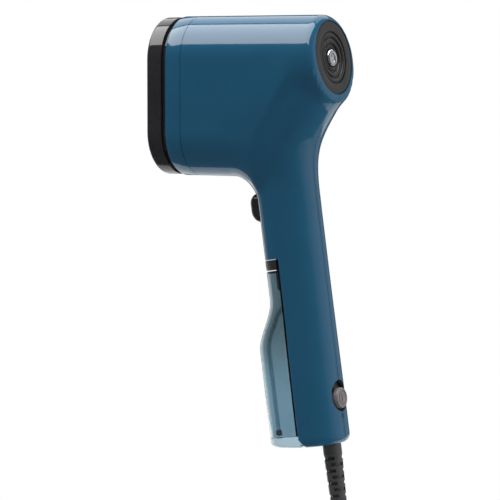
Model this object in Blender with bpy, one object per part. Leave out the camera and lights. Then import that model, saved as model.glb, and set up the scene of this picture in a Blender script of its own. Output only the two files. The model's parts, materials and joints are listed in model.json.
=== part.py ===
"""Hand-held garment steamer: a level steam head on a leaning handle, with its water tank and cord.

Frame: metres, Z up.  The head runs along X with its steam face towards -X.  The origin is the middle of
the grip, on the handle's axis.  The handle has a frame of its own, the empty "handle_axis": its X points
to the back of the handle, Y across it and Z up along it, and it leans by LEAN.
"""
import math

import bmesh
import bpy
import numpy as np
from mathutils import Matrix, Vector

for old in list(bpy.data.objects):
    bpy.data.objects.remove(old, do_unlink=True)

# ---- Driving dimensions ------------------------------------------------------------------------------
GAP = 0.0003                 # clearance between neighbouring pieces
WALL = 0.0022                # casing wall
LEAN = math.radians(8.0)     # lean of the handle's axis

HEAD_RADIUS = 0.028          # round top and round bottom of the head
HEAD_HIGH = 0.1126           # height of the upper centre line
HEAD_LOW = 0.0674            # height of the lower centre line
HEAD_MID = (HEAD_HIGH + HEAD_LOW) / 2
HEAD_HALF_GAP = (HEAD_HIGH - HEAD_LOW) / 2
CASING_FRONT_X = -0.0670     # where the two shells begin
COLLAR_LENGTH = 0.0113
GROOVE = 0.0030              # dark groove between collar and bezel
BEZEL_LENGTH = 0.0112
BEZEL_INSET = 0.0006         # the bezel is this much smaller all round
RISE_START_X = -0.022        # the head's lower line rises from here
RISE_END_X = 0.018           # to here, where the head is a plain cylinder
DISC_U = 0.0432              # plane of the head's back, in the handle's frame
DISC_T = 0.1093              # centre of the back disc, in the handle's frame
DISC_RADIUS = 0.0229
DISC_EDGE = 0.0045           # rounding of the casing round the disc

SECTION_U = -0.0005          # centre of the handle's oval section
HANDLE_REAR = 0.0190
HANDLE_FRONT = -0.0200
HANDLE_HALF_WIDTH = 0.0170
SECTION_POWER = 2.3          # 2 is an ellipse, more is squarer
BASE_T = -0.1275             # bottom of the handle
BASE_EDGE = 0.0050
BASE_DROP = 0.0015# how far the casing stands below the tank's front edge
BASE_WIDENING = 0.0016
FLARE_T = 0.0582              # the back of the neck turns outwards about here
FLARE_SOFTNESS = 0.0065
FLARE_SLOPE = 0.95
FLARE_HALF_WIDTH = 0.0272
HANDLE_TOP_T = 0.100
ELBOW_FILLET = 0.0165        # under the head
UPPER_FILLET = 0.0030        # where neck and head already run together

SEAM_U = -0.0043             # flat face between shell and tank
BAY_TOP_T = -0.0103
BAY_WALL = 0.0030
TANK_TOP_T = -0.0176
TANK_FRONT = -0.0323         # belly of the tank
TANK_WALL = 0.0016
TANK_FOOT = 0.0057
BELLY_START_T = -0.0350
BELLY_END_T = -0.0675
TANK_KICK = 0.0029           # how far the foot reaches back under the shells
FOOT_TILT = 0.05             # slope of the foot's bottom, down to the casing
SPOUT_U = -0.0118
SPOUT_RADIUS = 0.0036
VALVE_TRAVEL = 0.0018
CAP_FLANGE = 0.0052
CAP_DEPTH = 0.0014
DIP_RADIUS = 0.0014          # the dip tube, which runs down the front wall
FILTER_RADIUS = 0.0022

LATCH_HEIGHT = 0.0064
LATCH_THICKNESS = 0.0020
LATCH_TRAVEL = 0.0015
LATCH_END_U = -0.0061

BUTTON_T = 0.0231
BUTTON_HEIGHT = 0.0182
BUTTON_WIDTH = 0.0120
BUTTON_PROUD = 0.0075
BUTTON_LIP = 0.0030          # the flange that keeps the button in is this much larger

SWITCH_T = -0.0993           # middle of the slide switch's well
KNOB_RADIUS = 0.0065
KNOB_TRAVEL = 0.0030
KNOB_PROUD = 0.0014
WELL_WALL = 0.0005
WELL_CLEARANCE = 0.0011 # gap round the knob in its well
WELL_FLOOR_U = 0.0153

CORD_U = 0.0086              # where the cord leaves the base
CORD_RADIUS = 0.0035
RELIEF_LENGTH = 0.040
RELIEF_ROOT = 0.00585
RELIEF_TIP = 0.0050
COIL_CENTRE = Vector((0.0400, -0.0229, BASE_T - 0.1165))
COIL_MEAN = 0.0385           # radius to the middle of the turns
COIL_ROWS = 4
COIL_COLUMNS = 2
PLUG_RADIUS = 0.0130
PIN_RADIUS = 0.0024
PIN_HALF_SPACING = 0.0093

SCREW_T = (-0.034, -0.108)   # casing screws, upper and lower
SCREW_Y = 0.0105
SCREW_RADIUS = 0.00125
SCREW_HEAD = 0.0027
PLATE_RADIUS = 0.0230
PLATE_THICKNESS = 0.0025
PUMP_X = 0.0020
PUMP_RADIUS = 0.0060
SWITCH_FACE_U = -0.0060
SPRING_Y = 0.0085            # the latch's springs, off the centre plane
SPRING_RADIUS = 0.0014
SPRING_WIRE = 0.00025
POCKET_U = -0.0070

# ---- Materials ---------------------------------------------------------------------------------------
FINISHES = {
    "blue_gloss": ((0.014, 0.068, 0.118), 0.22, 0.0),
    "black_gloss": ((0.016, 0.016, 0.018), 0.15, 0.0),
    "dark_plastic": ((0.055, 0.055, 0.058), 0.45, 0.0),
    "knob_grey": ((0.14, 0.12, 0.12), 0.5, 0.0),
    "chrome": ((0.75, 0.75, 0.76), 0.08, 1.0),
    "plate_metal": ((0.55, 0.56, 0.57), 0.3, 1.0),
    "cast_metal": ((0.42, 0.43, 0.44), 0.5, 1.0),
    "steel": ((0.5, 0.5, 0.5), 0.35, 1.0),
    "tank_tint": ((0.13, 0.25, 0.33), 0.1, 0.0),
    "white_plastic": ((0.7, 0.7, 0.68), 0.4, 0.0),
    "silicone": ((0.6, 0.6, 0.58), 0.5, 0.0),
    "board_green": ((0.02, 0.14, 0.07), 0.4, 0.0),
    "copper": ((0.55, 0.22, 0.1), 0.3, 1.0),
    "cord_black": ((0.03, 0.03, 0.03), 0.55, 0.0),
    "brass": ((0.6, 0.45, 0.2), 0.25, 1.0),
}


def finish(name):
    """The material of that name, made once."""
    if name in bpy.data.materials:
        return bpy.data.materials[name]
    colour, roughness, metallic = FINISHES[name]
    material = bpy.data.materials.new(name)
    material.use_nodes = True
    shader = material.node_tree.nodes["Principled BSDF"]
    shader.inputs["Base Color"].default_value = (*colour, 1.0)
    shader.inputs["Roughness"].default_value = roughness
    shader.inputs["Metallic"].default_value = metallic
    return material


# ---- Frames ------------------------------------------------------------------------------------------
handle_axis = bpy.data.objects.new("handle_axis", None)
handle_axis.rotation_euler = (0.0, -LEAN, 0.0)
bpy.context.scene.collection.objects.link(handle_axis)


def at(u, y, t):
    """A point given in the handle's frame, in the model's frame."""
    x = u * math.cos(LEAN) - t * math.sin(LEAN)
    z = u * math.sin(LEAN) + t * math.cos(LEAN)
    return Vector((x, y, z))


def facing_x(x=0.0, y=0.0, z=0.0):
    """A placement whose local Z points along +X, for pieces turned about X."""
    return Matrix.Translation((x, y, z)) @ Matrix.Rotation(math.radians(90), 4, "Y")


def upright(x=0.0, y=0.0, z=0.0):
    return Matrix.Translation((x, y, z))


# ---- Outlines ----------------------------------------------------------------------------------------
def circle(radius, steps=24):
    angles = [2 * math.pi * i / steps for i in range(steps)]
    return [(radius * math.cos(a), radius * math.sin(a)) for a in angles]


def stadium(radius, half_gap, steps=12):
    """Two half circles, each of this many steps, their centres 2 * half_gap apart along the second axis."""
    points = []
    for side in (1, -1):
        for i in range(steps + 1):
            a = math.pi * i / steps + (0 if side > 0 else math.pi)
            points.append((radius * math.cos(a), side * half_gap + radius * math.sin(a)))
    return points


def rounded_box(width, height, radius, steps=4):
    points = []
    for quarter, (sx, sy) in enumerate(((1, 1), (-1, 1), (-1, -1), (1, -1))):
        for i in range(steps + 1):
            a = math.pi / 2 * (quarter + i / steps)
            x = sx * (width / 2 - radius) + radius * math.cos(a)
            y = sy * (height / 2 - radius) + radius * math.sin(a)
            points.append((x, y))
    return points


# ---- Makers of solids --------------------------------------------------------------------------------
def add_object(name, mesh, material, place=None, parent=None):
    item = bpy.data.objects.new(name, mesh)
    mesh.materials.append(finish(material))
    bpy.context.scene.collection.objects.link(item)
    item.parent = parent
    if place is not None:
        item.matrix_basis = place
    return item


def loft(name, rings, material, place=None, parent=None, loop=False, smooth=True):
    """A solid through rings of equal count: closed by end faces, or round into a loop."""
    mesh = bpy.data.meshes.new(name)
    bm = bmesh.new()
    rows = [[bm.verts.new(p) for p in ring] for ring in rings]
    count = len(rings[0])
    pairs = list(zip(rows, rows[1:] + rows[:1])) if loop else list(zip(rows, rows[1:]))
    for low, high in pairs:
        for i in range(count):
            j = (i + 1) % count
            bm.faces.new((low[i], low[j], high[j], high[i]))
    if not loop:
        bm.faces.new(rows[0][::-1])
        bm.faces.new(rows[-1])
    bmesh.ops.recalc_face_normals(bm, faces=bm.faces)
    bm.to_mesh(mesh)
    bm.free()
    if smooth:
        mesh.shade_smooth()
        mesh.set_sharp_from_angle(angle=math.radians(35))
    return add_object(name, mesh, material, place, parent)


def turned(name, profile, material, place=None, parent=None, steps=24, loop=False):
    """Turn (radius, height) points about local Z; loop closes the profile, for a hollow piece."""
    rings = []
    for radius, height in profile:
        rings.append([(x, y, height) for x, y in circle(radius, steps)])
    return loft(name, rings, material, place, parent, loop)


def prism(name, outline, low, high, material, place=None, parent=None):
    """An outline in local XY, between two heights along local Z."""
    rings = [[(x, y, h) for x, y in outline] for h in (low, high)]
    return loft(name, rings, material, place, parent)


def head_ring(name, profile, material, steps=12):
    """Sweep a closed (x, radius) profile round the head's stadium outline."""
    rings = []
    for x, radius in profile:
        outline = stadium(radius, HEAD_HALF_GAP, steps)
        rings.append([(x, y, HEAD_MID + z) for y, z in outline])
    return loft(name, rings, material, loop=True)


def head_plate(name, radius, front, back, material, steps=10):
    outline = stadium(radius, HEAD_HALF_GAP, steps)
    rings = [[(x, y, HEAD_MID + z) for y, z in outline] for x in (front, back)]
    return loft(name, rings, material)


def smooth_path(points, count):
    """Evenly spaced points on a Catmull-Rom curve through the given ones."""
    knots = [Vector(p) for p in points]
    knots = [knots[0] * 2 - knots[1]] + knots + [knots[-1] * 2 - knots[-2]]
    fine = []
    for a, b, c, d in zip(knots, knots[1:], knots[2:], knots[3:]):
        for i in range(24):
            s = i / 24
            linear = (c - a) * s
            square = (a * 2 - b * 5 + c * 4 - d) * s * s
            cube = (b * 3 - a - c * 3 + d) * s * s * s
            fine.append((b * 2 + linear + square + cube) / 2)
    fine.append(knots[-2])
    lengths = [0.0]
    for a, b in zip(fine, fine[1:]):
        lengths.append(lengths[-1] + (b - a).length)
    even = []
    for target in np.linspace(0.0, lengths[-1], count):
        k = min(int(np.searchsorted(lengths, target, side="right")), len(lengths) - 1)
        share = (target - lengths[k - 1]) / (lengths[k] - lengths[k - 1])
        even.append(fine[k - 1].lerp(fine[k], share))
    return even


def tube(name, points, radius, material, sides=2, parent=None):
    """A round bar along points: a curve with a bevel and filled ends."""
    curve = bpy.data.curves.new(name, "CURVE")
    curve.dimensions = "3D"
    curve.bevel_depth = radius
    curve.bevel_resolution = sides
    curve.use_fill_caps = True
    curve.materials.append(finish(material))
    spline = curve.splines.new("POLY")
    spline.points.add(len(points) - 1)
    for knot, point in zip(spline.points, points):
        knot.co = (*point, 1.0)
    item = bpy.data.objects.new(name, curve)
    bpy.context.scene.collection.objects.link(item)
    item.parent = parent
    return item


def spring(name, radius, wire, length, turns, place, parent):
    """A compression spring standing along local Z from 0 to length."""
    points = []
    steps = int(turns * 8)
    for i in range(steps + 1):
        a = 2 * math.pi * turns * i / steps
        height = wire + (length - 2 * wire) * i / steps
        points.append((radius * math.cos(a), radius * math.sin(a), height))
    item = tube(name, points, wire, "steel", 0, parent)
    item.matrix_basis = place
    return item


def cutter(item):
    """Turn an object into a tool that only shapes others."""
    item.hide_render = True
    item.display_type = "WIRE"
    return item


def cut(item, tool):
    modifier = item.modifiers.new(tool.name, "BOOLEAN")
    modifier.operation = "DIFFERENCE"
    modifier.object = tool
    modifier.solver = "EXACT"


def block(name, low, high, material="dark_plastic", parent=None):
    """A box between two corners."""
    outline = [(low[0], low[1]), (high[0], low[1]), (high[0], high[1]), (low[0], high[1])]
    return prism(name, outline, low[2], high[2], material, None, parent)


# ---- The casing's outer form -------------------------------------------------------------------------
def ramp(value, low, high):
    """0 below low, 1 above high, smooth between."""
    s = np.clip((value - low) / (high - low), 0.0, 1.0)
    return s * s * (3 - 2 * s)


def union_round(a, b, radius):
    """Distance to two forms joined with a round fillet."""
    corner = np.hypot(np.maximum(radius - a, 0.0), np.maximum(radius - b, 0.0))
    return np.maximum(radius, np.minimum(a, b)) - corner


def cut_round(a, b, radius):
    """Distance to what two forms share, its edge rounded."""
    corner = np.hypot(np.maximum(radius + a, 0.0), np.maximum(radius + b, 0.0))
    return np.minimum(-radius, np.maximum(a, b)) + corner


def half_width(t):
    """The handle's half width at a height: wider at the base and in the neck."""
    base = BASE_WIDENING * ramp(-t, 0.020, 0.115)
    neck = (FLARE_HALF_WIDTH - HANDLE_HALF_WIDTH) * ramp(t, 0.030, 0.085)
    return HANDLE_HALF_WIDTH + base + neck


def rear_line(t):
    """The handle's back, which sweeps out to the disc above the neck."""
    reach = np.log1p(np.exp((t - FLARE_T) / FLARE_SOFTNESS))
    return HANDLE_REAR + FLARE_SLOPE * FLARE_SOFTNESS * reach


def handle_distance(u, y, t):
    along = u - SECTION_U
    depth = np.where(along > 0, rear_line(t) - SECTION_U, SECTION_U - HANDLE_FRONT)
    far = np.hypot(along, y) + 1e-9
    level = (np.abs(along) / depth) ** SECTION_POWER + (np.abs(y) / half_width(t)) ** SECTION_POWER
    side = far - far / (level ** (1 / SECTION_POWER) + 1e-9)
    side = cut_round(side, BASE_T - BASE_DROP - t, BASE_EDGE)
    return np.maximum(side, t - HANDLE_TOP_T)


def head_distance(x, y, z):
    low = HEAD_LOW + (HEAD_HIGH - HEAD_LOW) * ramp(x, RISE_START_X, RISE_END_X)
    rise = z - np.clip(z, low, HEAD_HIGH)
    return np.hypot(y, rise) - HEAD_RADIUS


def casing_distance(points):
    x, y, z = points[..., 0], points[..., 1], points[..., 2]
    u = x * math.cos(LEAN) + z * math.sin(LEAN)
    t = z * math.cos(LEAN) - x * math.sin(LEAN)
    fillet = ELBOW_FILLET + (UPPER_FILLET - ELBOW_FILLET) * ramp(z, 0.040, 0.075)
    form = union_round(head_distance(x, y, z), handle_distance(u, y, t), fillet)
    return cut_round(form, u - DISC_U, DISC_EDGE)


def reach_surface(origins, directions, inset, limit=0.2):
    """Where rays from inside meet the casing's form, moved in by inset."""
    low = np.zeros(origins.shape[:-1])
    high = np.full(origins.shape[:-1], limit)
    for _ in range(34):
        middle = (low + high) / 2
        inside = casing_distance(origins + directions * middle[..., None]) < -inset
        low = np.where(inside, middle, low)
        high = np.where(inside, high, middle)
    return origins + directions * low[..., None]


def fan_angles(pivot, share):
    """Angles of the planes round the elbow, closer together where they cross the disc's rim."""
    rim = DISC_RADIUS + DISC_EDGE / 2
    knots = [math.radians(90)]
    for t, margin in ((DISC_T + rim, 4), (DISC_T + rim, -3), (DISC_T - rim, 3), (DISC_T - rim, -5)):
        x, _, z = np.array(at(DISC_U, 0.0, t)) - pivot
        knots.append(math.atan2(z, x) + math.radians(margin))
    knots.append(LEAN)
    angles = []
    for start, end, count in zip(knots, knots[1:], (4, 4, 3, 4, 6)):
        angles += list(np.linspace(start, end, max(2, round(count * share)), endpoint=False))
    return angles + [LEAN]


def casing_stations(front_x, inset, fan, grip_rings):
    """Section planes from the front opening, round the elbow and down: (centre, outward, half gap, drop)."""
    stations = []
    pivot = np.array(at(-0.0372, 0.0, 0.0291))
    for x in np.linspace(front_x, pivot[0], 4)[:-1]:
        centre = np.array((x, 0.0, HEAD_MID))
        stations.append((centre, np.array((0.0, 0.0, 1.0)), HEAD_HALF_GAP, 0.0))
    for angle in fan_angles(pivot, fan):
        outward = np.array((math.cos(angle), 0.0, math.sin(angle)))
        seed = pivot + outward * 0.037
        inner = reach_surface(seed, -outward, inset)
        outer = reach_surface(seed, outward, inset)
        half = np.linalg.norm(outer - inner) / 2
        half_gap = half - min(HEAD_RADIUS - inset, half - 0.0025)
        stations.append(((inner + outer) / 2, outward, half_gap, 0.0))
    outward = np.array(at(1.0, 0.0, 0.0))
    for t in np.linspace(0.018, BASE_T + 0.012, grip_rings):
        stations.append((np.array(at(SECTION_U, 0.0, t)), outward, 0.0025, 0.0))
    for drop in (20, 38, 50, 58, 66, 76):
        centre = np.array(at(SECTION_U, 0.0, BASE_T + 0.012))
        stations.append((centre, outward, 0.0025, math.radians(drop)))
    return stations


def casing_rings(front_x, inset, arc_steps, fan, grip_rings):
    """Rings of points on the casing's form, each an upper arc, a side, a lower arc and a side.

    arc_steps is odd, so that no point lies on the centre plane, where the shells are parted.
    """
    across = np.array((0.0, 1.0, 0.0))
    down = np.array(at(0.0, 0.0, -1.0))
    rays = []
    for side, start in ((1.0, -math.pi / 2), (-1.0, math.pi / 2)):
        for i in range(arc_steps + 1):
            rays.append((side, start + math.pi * i / arc_steps))
        rays.append((0.0, start + math.pi))
    origins = []
    directions = []
    for centre, outward, half_gap, drop in casing_stations(front_x, inset, fan, grip_rings):
        flat = [outward * math.cos(a) + across * math.sin(a) for _, a in rays]
        directions.append([d * math.cos(drop) + down * math.sin(drop) for d in flat])
        origins.append([centre + outward * half_gap * side for side, _ in rays])
    return reach_surface(np.array(origins), np.array(directions), inset)


def foot_kick(t):
    """How far the tank's foot reaches back under the shells at a height."""
    return TANK_KICK * max(0.0, (BASE_T + TANK_FOOT - t) / TANK_FOOT) ** 2


def make_kick_hole():
    """The hollow in the shells' lower edge that the tank's foot fills."""
    below = 0.002
    top = BASE_T + TANK_FOOT
    rings = []
    for y in (-0.04, 0.04):
        curve = [(SEAM_U + foot_kick(t), y, t) for t in np.linspace(top, BASE_T, 7)[1:]]
        lower = [(SEAM_U + TANK_KICK, y, BASE_T - below), (SEAM_U - below, y, BASE_T - below)]
        rings.append([(SEAM_U - below, y, top), (SEAM_U - GAP, y, top)] + curve + lower)
    return loft("kick_hole", rings, "blue_gloss", None, handle_axis)


def make_casing_tools():
    """The cutters that shape both shells."""
    core = loft("core", casing_rings(CASING_FRONT_X - 0.002, WALL, 11, 0.8, 6), "blue_gloss")
    low = (-0.06, -0.04, BASE_T - 0.02)
    bay = block("bay", low, (SEAM_U, 0.04, BAY_TOP_T), parent=handle_axis)
    keep = block("bay_wall", low, (SEAM_U + BAY_WALL, 0.04, BAY_TOP_T + WALL), parent=handle_axis)
    cut(core, keep)
    kick = make_kick_hole()
    disc = turned("disc_hole", [(DISC_RADIUS + GAP, 0.0), (DISC_RADIUS + GAP, 0.02)], "blue_gloss",
                  facing_x(DISC_U - 0.01, 0, DISC_T), handle_axis, 32)
    pocket = turned("cap_pocket", [(DISC_RADIUS + 0.0013, 0.0), (DISC_RADIUS + 0.0013, 0.01)],
                    "blue_gloss", facing_x(DISC_U - WALL - 0.01, 0, DISC_T), handle_axis, 32)
    outline = rounded_box(BUTTON_HEIGHT + 2 * GAP, BUTTON_WIDTH + 2 * GAP, 0.005)
    button = prism("button_hole", outline, -0.01, 0.01, "blue_gloss",
                   facing_x(HANDLE_FRONT, 0, BUTTON_T), handle_axis)
    well = stadium(KNOB_RADIUS + WELL_CLEARANCE + WELL_WALL + GAP, KNOB_TRAVEL / 2, 8)
    well_outline = [(z, y) for y, z in well]
    switch = prism("switch_hole", well_outline, -0.006, 0.01, "blue_gloss",
                   facing_x(HANDLE_REAR, 0, SWITCH_T), handle_axis)
    cord = turned("cord_hole", [(RELIEF_ROOT + GAP, -0.01), (RELIEF_ROOT + GAP, 0.01)], "blue_gloss",
                  upright(CORD_U, 0, BASE_T), handle_axis, 16)
    inlet = turned("inlet_hole", [(0.0035, -0.004), (0.0035, 0.006)], "blue_gloss",
                   upright(SPOUT_U, 0, BAY_TOP_T), handle_axis, 12)
    tools = [core, bay, disc, pocket, button, switch, cord, inlet]
    for side in (-1, 1):
        for t in SCREW_T:
            tools += screw_tools(side, t)
    tools.append(kick)
    for tool in tools + [keep]:
        cutter(tool)
    return tools


def screw_tools(side, t):
    name = f"screw_hole_{'right' if side > 0 else 'left'}_{abs(round(t * 1000))}"
    profile = [(SCREW_HEAD + GAP, -0.001), (SCREW_HEAD + GAP, 0.0016), (SCREW_RADIUS + GAP, 0.0016),
               (SCREW_RADIUS + GAP, 0.006)]
    return [turned(name, profile, "blue_gloss", facing_x(SEAM_U, side * SCREW_Y, t), handle_axis, 12)]


def make_casing(tools):
    """Two shells that meet on the centre plane."""
    rings = casing_rings(CASING_FRONT_X, 0.0, 15, 1.0, 8)
    for name, side in (("casing_left", -1), ("casing_right", 1)):
        shell = loft(name, rings, "blue_gloss")
        low_y, high_y = sorted((side * GAP / 2, -side * 0.06))
        cut(shell, cutter(block(f"beyond_{name}", (-0.2, low_y, -0.3), (0.2, high_y, 0.3))))
        for tool in tools:
            cut(shell, tool)


# ---- The head's front --------------------------------------------------------------------------------
COLLAR_BACK = CASING_FRONT_X - GAP
COLLAR_FRONT = COLLAR_BACK - COLLAR_LENGTH
BEZEL_BACK = COLLAR_FRONT - GROOVE
BEZEL_FRONT = BEZEL_BACK - BEZEL_LENGTH
def make_head_front():
    lip = HEAD_RADIUS - WALL - GAP
    head_ring("front_collar", [
        (COLLAR_FRONT, HEAD_RADIUS - 0.0005), (COLLAR_FRONT + 0.0005, HEAD_RADIUS),
        (COLLAR_BACK, HEAD_RADIUS), (COLLAR_BACK, lip), (COLLAR_BACK + 0.004, lip),
        (COLLAR_BACK + 0.004, lip - 0.0012), (COLLAR_BACK - 0.002, lip - 0.0012),
        (COLLAR_BACK - 0.002, HEAD_RADIUS - WALL), (COLLAR_FRONT, HEAD_RADIUS - WALL)], "blue_gloss")
    outer = HEAD_RADIUS - BEZEL_INSET
    opening = PLATE_RADIUS + 0.0004
    spigot = HEAD_RADIUS - WALL - GAP
    edge = 0.0022
    corner = []
    for i in range(5):
        a = math.pi / 2 * i / 4
        corner.append((BEZEL_FRONT + edge - edge * math.sin(a), outer - edge + edge * math.cos(a)))
    back = COLLAR_BACK - 0.0045
    head_ring("front_bezel", [
        (BEZEL_BACK, outer), *corner, (BEZEL_FRONT, opening), (back, opening), (back, spigot),
        (BEZEL_BACK, spigot)], "black_gloss")


def make_steam_head():
    """The heated plate with its outlets, and the boiler parts behind it."""
    front = BEZEL_FRONT + GAP
    plate_back = front + PLATE_THICKNESS
    plate = head_plate("steam_plate", PLATE_RADIUS, front, plate_back, "plate_metal")
    for row in range(-3, 4):
        columns = (-0.5, 0.5) if row % 2 else (-1, 0, 1)
        for column in columns:
            hole = turned(f"outlet_{row + 3}_{int(column * 2 + 2)}", [(0.0013, -0.01), (0.0013, 0.01)],
                          "steel", facing_x(front, column * 0.0125, HEAD_MID + row * 0.0115), None, 8)
            cut(plate, cutter(hole))
    gasket_front = plate_back + GAP
    gasket_back = gasket_front + 0.0012
    head_ring("plate_gasket", [(gasket_front, 0.0228), (gasket_back, 0.0228), (gasket_back, 0.0201),
                               (gasket_front, 0.0201)], "silicone")
    shield = gasket_back + GAP
    head_ring("heat_shield", [(shield, 0.0230), (-0.0440, 0.0230), (-0.0440, 0.0150), (-0.0455, 0.0150),
                              (-0.0455, 0.0218), (shield, 0.0218)], "dark_plastic")
    chamber_back = -0.0600
    floor = chamber_back - 0.004
    rings = []
    for x, radius in ((chamber_back, 0.0197), (gasket_front, 0.0197), (gasket_front, 0.0170), (floor, 0.0170)):
        rings.append([(x, y, HEAD_MID + z) for y, z in stadium(radius, HEAD_HALF_GAP, 8)])
    chamber = loft("steam_chamber", rings, "cast_metal")
    inlet_z = HEAD_MID + 0.027
    hole = turned("chamber_hole", [(0.0023, -0.01), (0.0023, 0.01)], "steel",
                  facing_x(chamber_back, 0, inlet_z), None, 12)
    cut(chamber, cutter(hole))
    turned("steam_inlet", [(0.0020, -0.0030), (0.0020, GAP), (0.0040, GAP), (0.0040, 0.0020),
                           (0.0017, 0.0020), (0.0017, 0.0100), (0.0009, 0.0100), (0.0009, -0.0030)],
           "brass", facing_x(chamber_back, 0, inlet_z), None, 16, True)
    bar = 0.0028
    plane = chamber_back + bar + GAP
    leg = 0.011
    points = [(plane + 0.014, -leg, HEAD_MID - 0.024), (plane + 0.006, -leg, HEAD_MID - 0.024)]
    points += [(plane, -leg, HEAD_MID - 0.018), (plane, -leg, HEAD_MID)]
    for i in range(9):
        a = math.pi * i / 8
        points.append((plane, -leg * math.cos(a), HEAD_MID + 0.008 + leg * math.sin(a)))
    points += [(plane, leg, HEAD_MID), (plane, leg, HEAD_MID - 0.018)]
    points += [(plane + 0.006, leg, HEAD_MID - 0.024), (plane + 0.014, leg, HEAD_MID - 0.024)]
    tube("heating_element", points, bar, "steel", 2)
    turned("thermostat", [(0.0070, GAP), (0.0070, 0.0040), (0.0055, 0.0040), (0.0055, 0.0065)],
           "steel", facing_x(chamber_back, 0, HEAD_MID - 0.010), None, 20)
    turned("thermal_fuse", [(0.0016, 0.0), (0.0016, 0.012)], "steel",
           upright(chamber_back + 0.0022, 0, HEAD_MID + 0.002), None, 10)


# ---- Pump and tubes ----------------------------------------------------------------------------------
def make_pump():
    turned("pump_body", [(0.0020, 0.0480), (0.0020, 0.0540), (PUMP_RADIUS, 0.0540),
                         (PUMP_RADIUS, 0.1080), (0.0020, 0.1080), (0.0020, 0.1150)],
           "white_plastic", upright(PUMP_X, 0, 0), None, 20)
    coil = block("pump_coil", (PUMP_X - 0.012, -0.012, 0.070), (PUMP_X + 0.012, 0.012, 0.098), "copper")
    hole = turned("coil_hole", [(PUMP_RADIUS + GAP, 0.06), (PUMP_RADIUS + GAP, 0.11)], "steel",
                  upright(PUMP_X, 0, 0), None, 20)
    cut(coil, cutter(hole))
    feed = [(PUMP_X, 0, 0.1153), (PUMP_X, 0, 0.1200), (PUMP_X - 0.0060, 0, 0.1262),
            (-0.0200, 0, 0.1260), (-0.0360, 0, 0.1180), (-0.0497, 0, HEAD_MID + 0.027)]
    tube("feed_tube", smooth_path(feed, 20), 0.0024, "silicone", 2)
    suction = [at(SPOUT_U, 0, 0.0003), at(SPOUT_U, 0.0010, 0.0040), at(-0.0080, 0.0070, 0.0100),
               at(-0.0030, 0.0098, 0.0180), at(0.0000, 0.0100, 0.0280), at(0.0050, 0.0050, 0.0380),
               Vector((PUMP_X, 0, 0.0450)), Vector((PUMP_X, 0, 0.0477))]
    tube("suction_tube", smooth_path(suction, 24), 0.0022, "silicone", 2)
    for name, side in (("element_wire_left", -1), ("element_wire_right", 1)):
        route = [(-0.0420, side * 0.011, HEAD_MID - 0.024), (-0.0340, side * 0.0120, 0.0640),
                 (-0.0180, side * 0.0125, 0.0570), (-0.0020, side * 0.0120, 0.0500),
                 at(0.0090, side * 0.0105, 0.034), at(0.0110, side * 0.0090, 0.010),
                 at(0.0105, side * 0.0070, -0.018), at(0.0100, side * 0.0050, -0.034)]
        tube(name, smooth_path(route, 18), 0.0009, "silicone", 1)


# ---- Back disc ---------------------------------------------------------------------------------------
def make_rear_cap():
    face = DISC_U - 0.0002
    rings = [
        (0.0057, -0.0056), (DISC_RADIUS + 0.0008, -0.0056), (DISC_RADIUS + 0.0008, -0.0042),
        (DISC_RADIUS, -0.0042),
        (DISC_RADIUS, -0.0006), (0.0213, 0.0), (0.0175, 0.0), (0.0172, -0.0008), (0.0145, -0.0011),
        (0.0142, -0.0006), (0.0106, -0.0008), (0.0103, -0.0016), (0.0066, -0.0020), (0.0057, -0.0018)]
    turned("rear_cap", rings, "dark_plastic", facing_x(face, 0, DISC_T), handle_axis, 28, True)
    stud = [(0.0054, -0.0062), (0.0054, -0.0010), (0.0049, -0.0002), (0.0042, 0.0), (0.0033, -0.0004),
            (0.0015, -0.0008)]
    turned("rear_stud", stud, "chrome", facing_x(face, 0, DISC_T), handle_axis, 24)


# ---- Steam button ------------------------------------------------------------------------------------
def inner_front(y, wall):
    """Where the inside of the handle's front is, this far off the centre plane."""
    share = (abs(y) / (HANDLE_HALF_WIDTH - wall)) ** SECTION_POWER
    return SECTION_U - (SECTION_U - HANDLE_FRONT - wall) * (1 - share) ** (1 / SECTION_POWER)


FLANGE_WIDTH = BUTTON_WIDTH + BUTTON_LIP
BUTTON_FLANGE_U = inner_front(FLANGE_WIDTH / 2, WALL) + GAP


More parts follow.
